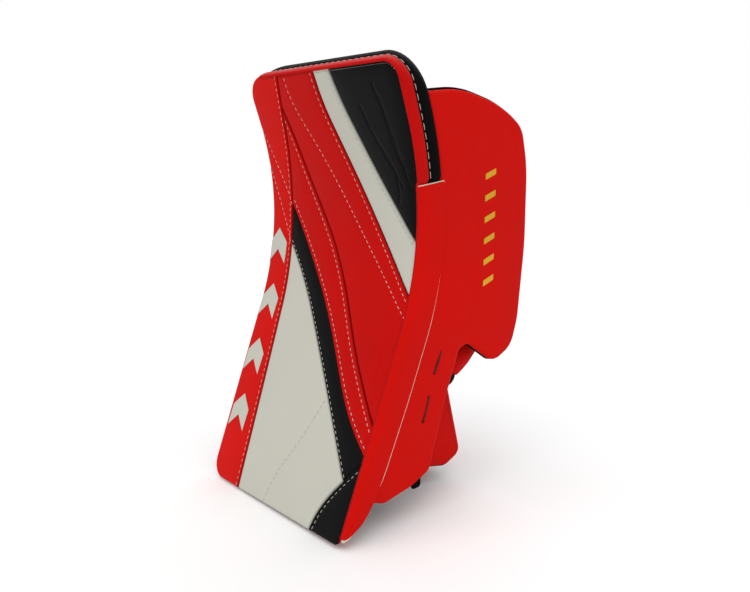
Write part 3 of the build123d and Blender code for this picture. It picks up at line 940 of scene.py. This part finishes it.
# The strip's cross-section over the wall, as (out, depth), from its front edge to its back.
strip_section = smooth_curve([
    (-1.6, -0.6), (-0.4, -0.35), (0.5, 0.6), (0.95, 2.4), (1.0, 5), (1.0, 12), (1.0, 29),
], 0.25)
strip_along = run_along(strip_section)
strip_across = side_normals(strip_section)
strip_outline = rounded([
    (4.5, 0.2, 2), (STRIP_TOP, 0.1, 0.6), (STRIP_TOP + 1, 29.5, 0.8), (120, 27.9, 400),
    (64, 25.3, 200), (39, 22.9, 60), (21, 17.9, 30), (9, 8, 14),
], 1.2)


def on_thumb_wall(points, height):
    """Strip surface: (s, distance round the section) on the wall."""
    s, along = points.T
    out, t = sample(strip_section, strip_along, along).T
    push, back = abs(units(sample(strip_across, strip_along, along))).T
    return on_board(HALF_WIDTH + out + height * push, s, t - height * back)


def build_strip():
    beyond = np.interp(
        strip_outline[:, 0], (5, 9, 14, 34, 56, 185, 250, STRIP_TOP - 2, STRIP_TOP),
        (2.6, 1.6, -0.6, -0.6, 1.2, 1.1, 0.3, 0.3, 0.8),
    )
    backing = inset(strip_outline, -beyond[:, None])
    backing[:, 1] = np.where(strip_outline[:, 1] > 3, backing[:, 1], np.maximum(backing[:, 1], 0.6))
    under = pillow("overlay_backing", backing, 0.32, 0.3, lambda p, h: on_thumb_wall(p, h - 0.5), spacing=6)
    piece(under, raw_edge, "white_leather")
    over = pillow("overlay_strip", strip_outline, 0.65, 0.8, on_thumb_wall, spacing=4.5, dome=0.25, swell=5)
    piece(over, red_matte, "red_leather", replaces=["side_overlay_strip"])
    s = np.arange(10, STRIP_TOP - 2, 0.9)
    path = on_thumb_wall(np.stack([s, 0 * s + 0.5], 1), 0.5)
    # Black bumps along the strip's front edge: painted shade in its stitch holes.
    stitches(
        "overlay_holes", path, board_front(s), painted_hole_shade, "black_leather",
        length=1.3, gap=1.5, radius=0.36, lift=0.1,
    )


build_strip()


# ---------------------------------------------------------------- side guard

# The guard's outer face, the middle planes of its two pads, and the binding between them.
GUARD_FACE_X = 101.6
GUARD_OUTER_X = GUARD_FACE_X - 3.4
GUARD_INNER_X = GUARD_FACE_X - 8.6
GUARD_BINDING_X = GUARD_FACE_X - 6.4
GUARD_OUTLINE = [
    (-150, 161.3, 5), (-12, 177, 110), (40, 165.5, 110), (66, 148.5, 22), (74.4, 116, 120), (75, 48, 250),
    (68, -20, 60), (60, -44, 22), (37, -54.5, 16), (2, -31.5, 9), (-9, -36, 9), (-24, -74, 150),
    (-43, -134.5, 9), (-64, -142.8, 40), (-93, -148.5, 10), (-150, -128, 5),
]


def board_place(points):
    """Where (y, z) points lie on the board's side, as (s, t)."""
    y, z = points[:, 0] - BEND_Y, points[:, 1] - BEND_Z
    angle = np.clip(np.arctan2(z, y), -LEAN, board_angle(BEND_END))
    beyond = z * np.cos(angle) - y * np.sin(angle)
    return np.stack([RUN + (angle + LEAN) * BEND + beyond, y * np.cos(angle) + z * np.sin(angle) - BEND], 1)


def behind_board(outline, depth_at, step):
    """A (y, z) outline cut where it lies less deep in the board than depth_at(s).

    Gives the part behind that, and the line along the board that closes it again."""
    behind = board_place(outline)[:, 1] > depth_at(board_place(outline)[:, 0])
    start = int(np.nonzero(behind & ~np.roll(behind, 1))[0][0])
    free = np.roll(outline, -start, 0)[:behind.sum()]
    ends = board_place(free[[-1, 0]])[:, 0]
    s = np.arange(*ends, math.copysign(step, ends[1] - ends[0]))[1:]
    return free, on_board(0, s, depth_at(s))[:, 1:]


def guard_seam(s):
    """Depth of the guard's sewn edge: under the overlay strip, and behind the board above it."""
    under = 6.4 + 2.5 * ramp(s, 90, 30)
    return 24.4 - under * soft_below(s - STRIP_TOP + 4, 1.5)


def guard_outline(grow):
    """Outline of the side guard in (y, z), its free edge grown outwards."""
    free, seam = behind_board(rounded(GUARD_OUTLINE, 1.2), guard_seam, 1.5)
    grown = np.r_[np.full(len(free), grow), np.zeros(len(seam))]
    return inset(np.vstack([free, seam]), -grown[:, None])


def build_guard():
    red = guard_outline(0.7)
    black = guard_outline(1.0)
    black[:, 1] += 0.7
    pad = pillow(
        "guard_outer_pad", red, 3.2, 3.4, flat_yz(GUARD_OUTER_X),
        spacing=5, dome=0.35, swell=10, dent=guard_dent,
    )
    nodes = ["guard_skin", "guard_outer_foam", "guard_insert"]
    piece(pad, red_matte, "red_leather", replaces=nodes)
    lining = pillow(
        "guard_inner_pad", black, 2.4, 1.6, flat_yz(GUARD_INNER_X, -1),
        spacing=2.6, dome=0.5, dent=guard_quilt,
    )
    piece(lining, black_knit, "black_knit", replaces=["guard_inner_foam", "guard_liner"])
    edge = flat_yz(GUARD_BINDING_X)(black, 0)
    trim = tube("guard_edge_binding_cord", edge, 0.95, sides=8, closed=True)
    piece(trim, black_matte, "black_knit", replaces=["guard_edge_binding"])


LACE_SPOTS = [((-31, -32), (-39, -51)), ((-45, -69.5), (-51.5, -89.5))]


def guard_dent(points):
    """Shallow pull of the laces into the guard's face."""
    return -0.9 * sum(bell(distance(points, resample(ends, 1.0)), 1.4) for ends in LACE_SPOTS)


def guard_quilt(points):
    """Sewn channels across the guard's lining."""
    return -bell((points[:, 1] + 0.25 * points[:, 0] + 200) % 42 - 21, 3)


def build_laces():
    """Laces that sink into the skin and come out on the lining, with an eyelet at each end."""
    eyelet = np.arange(16)[:, None] * math.pi / 8
    across = np.linspace(0, 1, 9)
    dip = abs(2 * across - 1) ** 3
    for number, ends in enumerate(np.array(LACE_SPOTS, float), 1):
        route = ends[0] + (ends[1] - ends[0]) * across[:, None]
        outside = flat_yz(GUARD_FACE_X - 0.1)(route, -0.7 * dip)
        lining = flat_yz(GUARD_FACE_X - 11.9)(route[::-1], 0.8 * dip)
        loop = resample(np.vstack([outside, lining]), 0.8, closed=True)
        node = ["guard_laces"] if number == 1 else []
        lace = tube(f"guard_lace_{number}", loop, 0.95, sides=10, closed=True)
        piece(lace, maroon_cord, "lace_cord", replaces=node)
        for place, end in zip(("top", "low"), ends):
            ring = flat_yz(GUARD_FACE_X - 0.55)(end + 1.15 * np.hstack([np.cos(eyelet), np.sin(eyelet)]), 0)
            made = tube(f"guard_eyelet_{place}_{number}", ring, 0.45, sides=8, closed=True)
            piece(made, black_matte, "lace_cord")


def build_guard_bars():
    shift = 13 * math.tan(math.radians(20))
    for number in range(6):
        low = 15 + 18 * number
        bar = resample([(18, low), (31, low + shift), (31, low + shift + 5), (18, low + 5)], 1.0, closed=True)
        made = pillow(f"guard_bar_{number + 1}", bar, 0.22, 0.35, flat_yz(GUARD_FACE_X + 0.28), spacing=2.5)
        piece(made, gold_print, "gold_print", replaces=["guard_marks"] if number == 0 else [])


def build_lining_tab():
    """Loose end of the lining's binding, which hangs below the guard's lower edge."""
    shape = rounded([(-44.5, -139, 1.5), (-45.5, -150.8, 3.4), (-55, -151.4, 3.4), (-58, -139, 1.5)], 0.8)
    place = flat_yz(GUARD_FACE_X - 9.4)
    tab = pillow("guard_lining_tab", shape, 1.0, 1.0, place, spacing=3, dome=0.2, swell=3)
    piece(tab, black_matte, "black_knit")


build_guard()
build_lining_tab()
build_laces()
build_guard_bars()


# ---------------------------------------------------------------- chevrons on the outer strip

CHEVRON = [(-13, 0), (0, 14), (13, 0), (13, 22), (0, 36), (-13, 22)]


def over_cover(points, height):
    """Place a mark that is glued on the front cover."""
    return front_surface(points, front_height(points)[0] + 0.35 + height)


def build_chevrons():
    for number in range(4):
        s = 46 + 54 * number
        x = -75 - 0.062 * s
        border = resample([(x + a, s + b * 0.93) for a, b in CHEVRON], 1.0, closed=True)
        made = pillow(f"strip_chevron_{number + 1}", border, 0.35, 0.6, over_cover, spacing=3)
        piece(made, white_leather, "white_leather", replaces=["outer_strip_marks"] if number == 0 else [])


build_chevrons()


# ---------------------------------------------------------------- back of the board

def build_back_liner():
    """Quilted lining over the board's back, inside the rear band."""
    outline = inset(board_outline, 8.2)
    outline[:, 1] += ramp(outline[:, 1], 150, 0) * bottom_roll(25)

    def place(p, h):
        channel = np.exp(-((p[:, 1] + 8) % 34 - 17) ** 2 / 2.2)
        return on_board(p[:, 0], p[:, 1], 22.9 + h * (1 - 0.35 * channel))

    made = pillow("back_liner_quilt", outline, 1.9, 3.0, place, spacing=4.5, dome=0.5, swell=10)
    piece(made, black_knit, "black_knit", replaces=["back_liner", "rear_foam"])


def block_behind_board(name, half_width, low, high):
    """Pad between the board's back and a plane facing the hand, swollen like stuffed cloth."""
    corners = [(-half_width, low, 6), (half_width, low, 6), (half_width, high, 6), (-half_width, high, 6)]
    outline = rounded(corners, 3)
    points, faces = fill(outline, spacing=6)
    front = on_board(points[:, 0], points[:, 1], BOARD_BACK - 0.2)
    back = front.copy()
    back[:, 1] = -20.5
    count = len(points)
    rim = np.nonzero(distance(points, outline, closed=True) < 0.001)[0]
    middle = outline.mean(0)
    rim = rim[np.argsort(np.arctan2(points[rim, 1] - middle[1], points[rim, 0] - middle[0]))]
    walls = [(a, b, b + count, a + count) for a, b in zip(rim, np.roll(rim, -1))]
    made = mesh_object(name, np.vstack([front, back]), [*faces, *(faces[:, ::-1] + count), *walls])
    return inflate(close_up(made), 4.0, 3.0, 3.0)


build_back_liner()


# ---------------------------------------------------------------- glove

def build_pads_and_lining():
    pad = block_behind_board("backhand_pad", 47, 97, 217)
    piece(pad, black_knit, "black_knit", replaces=["backhand_foam"])
    rest = block_behind_board("finger_rest", 46, 226, 294)
    piece(rest, black_knit, "foam", replaces=["finger_rest_pad"])
    lining = rounded([(-46, -60, 8), (46, -60, 8), (46, 39, 5), (-46, 39, 5)], 1.5)
    made = pillow("hand_lining", lining, 0.8, 1.0, flat_xz(-17.6), dome=0.2)
    piece(made, black_knit, "black_knit", replaces=["backhand_lining"])
    side = rounded([(-17, -61, 7), (17, -61, 7), (16, 42, 9), (-14, 42, 9)], 1.5)
    for name, turn, node in (("little", -1, "little_finger_gusset"), ("thumb", 1, "thumb_gusset")):
        place = flat_yz(46.2 * turn, turn)
        cover = pillow(
            f"{name}_gusset_cover", side, 1.7, 3.0, place,
            spacing=3, dome=1.6, swell=9, dent=gusset_folds,
        )
        piece(cover, black_knit, "black_knit", replaces=[node])


def over_palm(p, h):
    """Place a patch that follows the palm's folds."""
    return flat_xz(20.3)(p, 0.75 * palm_folds(p) + h)


def build_palm():
    heel = rounded([
        (-47, -73, 14), (47, -73, 14), (48.5, -20, 60), (47.5, 42, 10), (-47.5, 42, 10), (-48.5, -20, 60),
    ], 1.5)
    palm = pillow(
        "palm_cover", heel, 1.2, 1.6, flat_xz(18.1), spacing=3.5, dome=0.7, swell=8, dent=palm_folds,
    )
    piece(palm, suede, "palm_suede", replaces=["palm"])
    patch = rounded([(-39, -15, 12), (39, -15, 12), (39, 37, 8), (-39, 37, 8)], 1.5)
    worn = pillow("palm_reinforcement", patch, 0.7, 0.9, over_palm, spacing=3.5, dome=0.25)
    piece(worn, black_matte, "palm_suede", replaces=["palm_patch"])
    path = over_palm(inset_row(patch, 2.6), 0.75)
    stitches("palm_topstitch", path, PALMWARDS, grey_thread, "lace_cord", length=2.6, gap=1.2, radius=0.32)


def build_pocket_edges():
    for name, sign in (("little", -1), ("thumb", 1)):
        for label, y in (("palm", 17.2), ("back", -17.6)):
            line = smooth_curve([(sign * 47.2, y, -60), (sign * 48.0, y, -20), (sign * 47.2, y, 40)], 2.5)
            piece(tube(f"{name}_{label}_piping", line, 1.1, sides=8), black_matte, "black_leather")
    hem = rounded([(-46.5, -18, 7), (46.5, -18, 7), (46.5, 17, 7), (-46.5, 17, 7)], 2.0)
    path = np.hstack([hem, np.full((len(hem), 1), -61.5)])
    piece(tube("pocket_hem", path, 1.9, closed=True), black_matte, "black_leather")
    roll = close_up(mesh_object("knuckle_roll_cover", *roll_shape()))
    inflate(roll, 2.6, 2.0, 1.2)
    piece(roll, black_leather, "black_leather", replaces=["knuckle_roll"])


def gusset_folds(p):
    """Soft folds where the gussets give as the hand goes in."""
    low = bell(p[:, 1] + 12 + 0.3 * p[:, 0], 3.0)
    high = bell(p[:, 1] - 14 - 0.2 * p[:, 0], 2.8)
    return -0.9 * low - 0.7 * high


def palm_folds(p):
    """Creases of a worn palm: two long ones across it and one round the thumb's base."""
    across = -10 + 0.18 * p[:, 0] + 0.003 * p[:, 0] ** 2
    upper = 22 - 0.12 * p[:, 0] + 0.002 * p[:, 0] ** 2
    thumb = np.hypot(p[:, 0] - 52, p[:, 1] + 52) - 44
    return -0.7 * bell(p[:, 1] - across, 1.7) - 0.6 * bell(p[:, 1] - upper, 1.5) - 0.7 * bell(thumb, 1.8)


def roll_shape():
    """Bead across the knuckles with a neck down to the pocket."""
    section = [(4 + 9.3 * math.cos(a), 52 + 9.3 * math.sin(a)) for a in np.radians(np.arange(-40, 221, 12))]
    section += [(-6, 42), (-8, 38), (-8, 37), (16, 37), (16, 38), (14, 42)]
    x = np.r_[-46, -44.5, np.linspace(-42, 42, 24), 44.5, 46]
    shrink = np.r_[0.86, 0.97, np.ones(24), 0.97, 0.86]
    points = [(a, 4 + (y - 4) * k, 47 + (z - 47) * k) for a, k in zip(x, shrink) for y, z in section]
    return points, capped_faces(len(x), len(section))


# Each finger's name, x, and straight runs before and after its middle joint.
FINGERS = [
    ("little", -35.25, (13, 9)),
    ("ring", -11.75, (18, 13)),
    ("middle", 11.75, (20, 15)),
    ("index", 35.25, (17, 12)),
]


def lean_by(degrees):
    """Unit (y, z) vector leaning from the finger end towards the palm."""
    return np.array([math.sin(math.radians(degrees)), math.cos(math.radians(degrees))])


def turned(ahead):
    """A unit (y, z) vector turned by a quarter, from along a digit to its palm side."""
    return np.stack([ahead[..., 1], -ahead[..., 0]], -1)


def squarish(angle):
    """Cosine and sine of an angle, filled out towards a rounded square."""
    c, s = math.cos(angle), math.sin(angle)
    return math.copysign(abs(c) ** 0.86, c), math.copysign(abs(s) ** 0.86, s)


def digit_part(name, x, line, width, depth, span, side, folds, tip):
    """One half of a finger's shell between two places along its middle line."""
    along = run_along(line)
    total = along[-1]
    end = total if tip else span[1]
    u = np.unique(np.r_[np.arange(span[0], end, 1.1), end])
    if tip:
        u = np.r_[u[u < total - depth], total - depth * (1 - np.sin(np.linspace(0, math.pi / 2, 12)))]
    centre = sample(line, along, u)
    palm = turned(units(sample(np.gradient(line, along, axis=0), along, u)))
    cap = np.sqrt(1 - ramp(u, total - depth, total) ** 2) if tip else np.ones(len(u))
    angles = np.radians(np.linspace(-7, 187, 21)) * side
    points = []
    for k, place in enumerate(u):
        taper = 1 - 0.05 * max(0, (place - 40) / 30)
        for angle in angles:
            a, b = squarish(angle)
            push = 1 + folds(place, math.sin(angle)) / depth
            level = centre[k] + palm[k] * b * depth * taper * cap[k] * push
            points.append((x + a * width * taper * cap[k] * min(push, 1.02), *level))
    made = mesh_object(name, points, grid_faces(len(u), len(angles)))
    shape = bmesh.new()
    shape.from_mesh(made.data)
    bmesh.ops.remove_doubles(shape, verts=shape.verts, dist=0.00003)
    shape.to_mesh(made.data)
    shape.free()
    middle = len(angles) // 2
    away = Vector(np.array(points[middle]) - (x, *centre[0]))
    if made.data.polygons[middle].normal.dot(away) < 0:
        made.data.flip_normals()
    return thicken(made, FINGER_LEATHER)


def build_digit(name, prefix, x, pivot, leans, runs, width, depth, joint_lean):
    """Shell halves of a finger or thumb: a base part and a tip part, which overlap a little between its
    knuckle and its middle joint.
    """
    reach = 2 * depth + 0.6
    first, second = lean_by(leans[0]), lean_by(leans[1])
    bend = pivot + first * (reach + runs[0])
    end = bend + second * (reach + runs[1] + depth * 0.97)
    start = pivot - lean_by(joint_lean) * 11
    line = smooth_curve([start, pivot, pivot + first * (reach + runs[0]) * 0.55, bend, end], 0.8)
    along = run_along(line)
    at_pivot, at_bend = (along[np.argmin(np.linalg.norm(line - place, axis=1))] for place in (pivot, bend))
    cuff = at_pivot + 12 + 0.5 * (at_bend - 9 - at_pivot - 11)

    def folds(u, s):
        """Cross ridges of foam on the back, and creases at the joint on the palm side."""
        if s < 0:
            return 0.9 * abs(math.sin(math.pi * (u - at_pivot) / 10.5)) ** 0.6 * min(1, -s * 1.5) - 0.5
        crease = sum(deep * bell(u - at_bend - d, 1.2) for d, deep in ((0, 1.1), (-4.5, 0.7), (4.5, 0.7)))
        return -crease * min(1, s * 1.5)

    base, tip = f"{name}_base", f"{name}_tip"
    parts = ((base, ROOT, (0, cuff + 1.5), pivot, first), (tip, base, (cuff - 1.5, None), bend, second))
    for label, side, material, slot in (
        ("back", -1, black_leather, "black_leather"), ("palm", 1, suede, "palm_suede"),
    ):
        wider = 0.25 if label == "back" else 0
        for body, before, span, place, way in parts:
            swell = 0.0 if body == tip else 0.5
            made = digit_part(
                f"{prefix}{body}_{label}", x, line, width + swell + wider, depth + swell,
                span, side, folds, body == tip,
            )
            settle(made)
            node = body if prefix == "" else body.replace("_", "_finger_")
            piece(
                made, material, slot, body, [node] if label == "back" else (),
                joint=(before, (x, *(place - way * 8)), (x, *(place + way * 9))),
            )
    centre = sample(line, along, cuff)
    palm = turned(units(sample(np.gradient(line, along, axis=0), along, cuff)))
    ring = []
    for angle in np.arange(28) * math.pi / 14:
        a, b = squarish(angle)
        ring.append((x + a * (width + 0.7), *(centre + palm * b * (depth + 0.55))))
    band = tube(f"{name}_joint_band", ring, 0.8, sides=8, closed=True)
    piece(band, black_matte, "black_leather", body=base)


def build_digits():
    for name, x, runs in FINGERS:
        build_digit(name, "finger_", x, KNUCKLE, (12, 32), runs, 10.2, 9.6, 4)
    build_digit("thumb", "", 65.0, THUMB_PIVOT, (THUMB_LEAN, 30), (16, 12), 11.6, 11.4, THUMB_LEAN)


build_pads_and_lining()
build_palm()
build_pocket_edges()
build_digits()


def build_thumb_guard():
    """Root of the thumb on the pocket, and the hard shell over the thumb's outer side."""
    turn = np.radians(np.arange(0, 360, 12))[:, None]
    points = []
    beads = ((48, 9.5), (50, 11.2), (56, 12.0), (64, 12.2), (72, 12.0), (75.5, 11.0), (76.8, 9))
    for x, radius in beads:
        points += list(flat_yz(x)(THUMB_PIVOT + radius * np.hstack([np.cos(turn), np.sin(turn)]), 0))
    root = close_up(mesh_object("thumb_root_cover", points, capped_faces(len(beads), len(turn))))
    inflate(root, 2.6, 2.0, 1.0)
    piece(root, black_matte, "black_leather", replaces=["thumb_root"])
    way = lean_by(THUMB_LEAN)
    side = turned(way)
    low = THUMB_PIVOT + way * 24.6

    def place(p, h):
        flat = low + np.outer(p[:, 0], way) + np.outer(p[:, 1], side)
        crown = 4.4 - 0.03 * p[:, 1] ** 2 - 0.0035 * (p[:, 0] - 4) ** 2
        return flat_yz(76.6)(flat, crown + h)

    outline = rounded([(-21, -6, 5), (-8, -9, 12), (27, -9, 9), (27, 8, 9), (-4, 9.6, 14), (-21, 7, 5)], 1.0)
    shell = pillow("thumb_shell_cover", outline, 1.3, 1.4, place, spacing=3)
    piece(shell, red_matte, "red_leather", body="thumb_base", replaces=["thumb_shell"])


build_thumb_guard()


# ---------------------------------------------------------------- cuff and strap

def build_cuff_walls():
    corners = [(-150, -79, 3), (16, -79, 5), (35.3, -149.5, 9), (16, -158, 9), (-150, -122, 3)]
    free, seam = behind_board(rounded(corners, 1.5), lambda s: BOARD_BACK, 2.0)
    outline = np.vstack([free, seam])
    row = inset(outline, 4.5)[4:len(free) - 4]
    for name, turn in (("thumb", 1), ("little", -1)):
        x = 62.5 * turn
        pad = pillow(f"cuff_{name}_wall", outline, 2.1, 2.4, flat_yz(x, turn), dome=0.5, swell=7)
        piece(pad, red_matte, "red_leather", replaces=[f"cuff_{name}_side"])
        edge = flat_yz(x - turn * 1.6)(free, 0)
        piece(tube(f"cuff_{name}_binding", edge, 1.25, sides=8), black_matte, "black_leather")
        stitches(
            f"cuff_{name}_topstitch", flat_yz(x, turn)(row, 2.55), (turn, 0, 0), red_thread, "red_leather",
            length=3.0, gap=1.5, radius=0.3,
        )


def build_cuff_flap():
    way = lean_by(180 - 9)
    hinge = np.array([20.0, -76.0])
    normal = -turned(way)

    def place(p, h):
        ribs = 0.5 * np.exp(-((p[:, 1] - 8) % 17 - 8.5) ** 2 / 3.0)
        level = h - np.sign(h) * ribs * (abs(h) > 0.8)
        return np.column_stack([p[:, 0], hinge + np.outer(p[:, 1], way) + np.outer(level, normal)])

    outline = rounded([(-57, 2, 3), (57, 2, 3), (56, 82, 22), (-56, 82, 22)], 1.5)
    made = pillow("cuff_flap_cover", outline, 2.6, 3.0, place, spacing=3.6, dome=0.5, swell=8)
    joint = (ROOT, (0, *(hinge + way)), (0, *(hinge + way * 9)))
    piece(made, red_matte, "red_leather", "cuff_flap", ["cuff_palm_flap"], joint)
    edge = outline[outline[:, 1] > 12]
    edge = edge[np.argsort(np.arctan2(edge[:, 0], edge[:, 1] - 12))]
    path = place(edge, np.zeros(len(edge)))
    piece(tube("cuff_flap_binding", path, 1.5, sides=8), black_matte, "black_leather", body="cuff_flap")


def strap_outline(start, end, half_width, near, far, step=1.2):
    """Rounded rectangle in (x, z) along the strap, with corner radii near its start and far from it."""
    low, high = STRAP_Z - half_width, STRAP_Z + half_width
    return rounded([(start, low, near), (end, low, far), (end, high, far), (start, high, near)], step)


def build_strap():
    """Webbing strap with hook and loop, its ribbed pull tab and the anchor it is sewn to."""
    patch = strap_outline(-2, 40, 16, 2, 4)
    for name, y, half, body in (("loop_patch", 20.2, 0.6, ROOT), ("hook_patch", 21.6, 0.55, "wrist_strap")):
        made = pillow(name, patch, half, 0.5, flat_xz(y), spacing=3.5)
        piece(made, hook_cloth, "hook_and_loop", body=body, replaces=[f"strap_{name}"])
    start, end = -53, 46
    webbing = strap_outline(start, end, 18, 2, 4)

    def place(p, h):
        return flat_xz(23.4)(p, 0.5 * np.sin(math.pi * ramp(p[:, 0], start, end)) + h)

    made = pillow("strap_webbing", webbing, 1.15, 1.0, place, spacing=3.5)
    piece(made, black_webbing, "strap_webbing", body="wrist_strap", replaces=["wrist_strap"])
    for number, by in enumerate((2.6, 4.4), 1):
        stitches(
            f"strap_topstitch_{number}", place(inset_row(webbing, by), 1.2), PALMWARDS, grey_thread,
            "strap_webbing", length=2.6, gap=1.2, radius=0.28, body="wrist_strap",
        )
    made = pillow(
        "pull_tab", strap_outline(43, 51, 12, 2, 3.5, 0.8), 1.35, 0.9, flat_xz(23.5),
        spacing=0.7, dome=0.2, dent=lambda p: 0.45 * np.cos((p[:, 0] - 43) * math.pi / 1.3),
    )
    piece(made, tab_rubber, "tab_rubber", body="wrist_strap", replaces=["strap_pull_tab"])
    anchor = strap_outline(-58, -48.5, 17.5, 2, 2)
    made = pillow("strap_anchor_cover", anchor, 2.9, 1.6, flat_xz(18.6), spacing=3, dome=0.1)
    piece(made, black_matte, "strap_webbing", replaces=["strap_anchor"])


build_cuff_walls()
build_cuff_flap()
build_strap()


# Inner layers that the covers hide keep their CAD shapes.
for node, material in (("foam_core", foam_bulk), ("stiffener_plate", plastic_plate)):
    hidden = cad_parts[node]
    hidden.data.materials.clear()
    hidden.data.materials.append(material)


# ---------------------------------------------------------------- stage, light, camera

# The floor lies under the leather that stands out below the CAD parts.
FLOOR_GAP = 4.5
FLOOR = 4000


def build_stage():
    low = cad_box[0][2] / MM - FLOOR_GAP
    corners = [(-FLOOR, -FLOOR, low), (FLOOR, -FLOOR, low), (FLOOR, FLOOR, low), (-FLOOR, FLOOR, low)]
    floor = mesh_object("floor", corners, [(0, 1, 2, 3)])
    material, _, shader = shader_nodes("pale_floor")
    shader.inputs["Base Color"].default_value = (0.9, 0.9, 0.9, 1)
    shader.inputs["Roughness"].default_value = 0.8
    floor.data.materials.append(material)
    world = bpy.data.worlds.new("studio")
    bpy.context.scene.world = world
    world.use_nodes = True
    background = world.node_tree.nodes["Background"]
    background.inputs["Color"].default_value = (1, 1, 1, 1)
    background.inputs["Strength"].default_value = 0.6
    backdrop = add_node(world.node_tree, "ShaderNodeBackground", in_Color=(1, 1, 1, 1), in_Strength=1.0)
    seen = add_node(world.node_tree, "ShaderNodeLightPath")
    chosen = add_node(world.node_tree, "ShaderNodeMixShader")
    link = world.node_tree.links.new
    link(seen.outputs["Is Camera Ray"], chosen.inputs["Fac"])
    link(background.outputs["Background"], chosen.inputs[1])
    link(backdrop.outputs["Background"], chosen.inputs[2])
    link(chosen.outputs["Shader"], world.node_tree.nodes["World Output"].inputs["Surface"])


def soft_sun(name, towards, strength):
    """Distant light with soft shadows, shining from a direction."""
    data = bpy.data.lights.new(name, "SUN")
    data.angle = math.radians(70)
    data.energy = strength
    made = bpy.data.objects.new(name, data)
    bpy.context.scene.collection.objects.link(made)
    made.location = towards
    made.rotation_mode = "QUATERNION"
    made.rotation_quaternion = (-Vector(towards)).to_track_quat("-Z", "Y")


CAMERA_PLACE = (0.5206, -0.4707, 0.1237)
CAMERA_AHEAD = (-0.7403, 0.6476, -0.1804)


def build_camera():
    data = bpy.data.cameras.new("camera")
    data.sensor_width = 36
    data.lens = 36.325
    data.clip_start = 0.01
    made = bpy.data.objects.new("camera", data)
    bpy.context.scene.collection.objects.link(made)
    made.location = CAMERA_PLACE
    made.rotation_mode = "QUATERNION"
    made.rotation_quaternion = Vector(CAMERA_AHEAD).to_track_quat("-Z", "Y")
    bpy.context.scene.camera = made


build_stage()
soft_sun("key", (0.1, -1.2, 1.7), 1.3)
soft_sun("side", (1.35, 0.0, 1.3), 0.75)
soft_sun("rear", (-0.9, 1.1, 0.9), 0.7)
build_camera()
bpy.context.scene.view_settings.view_transform = "Standard"
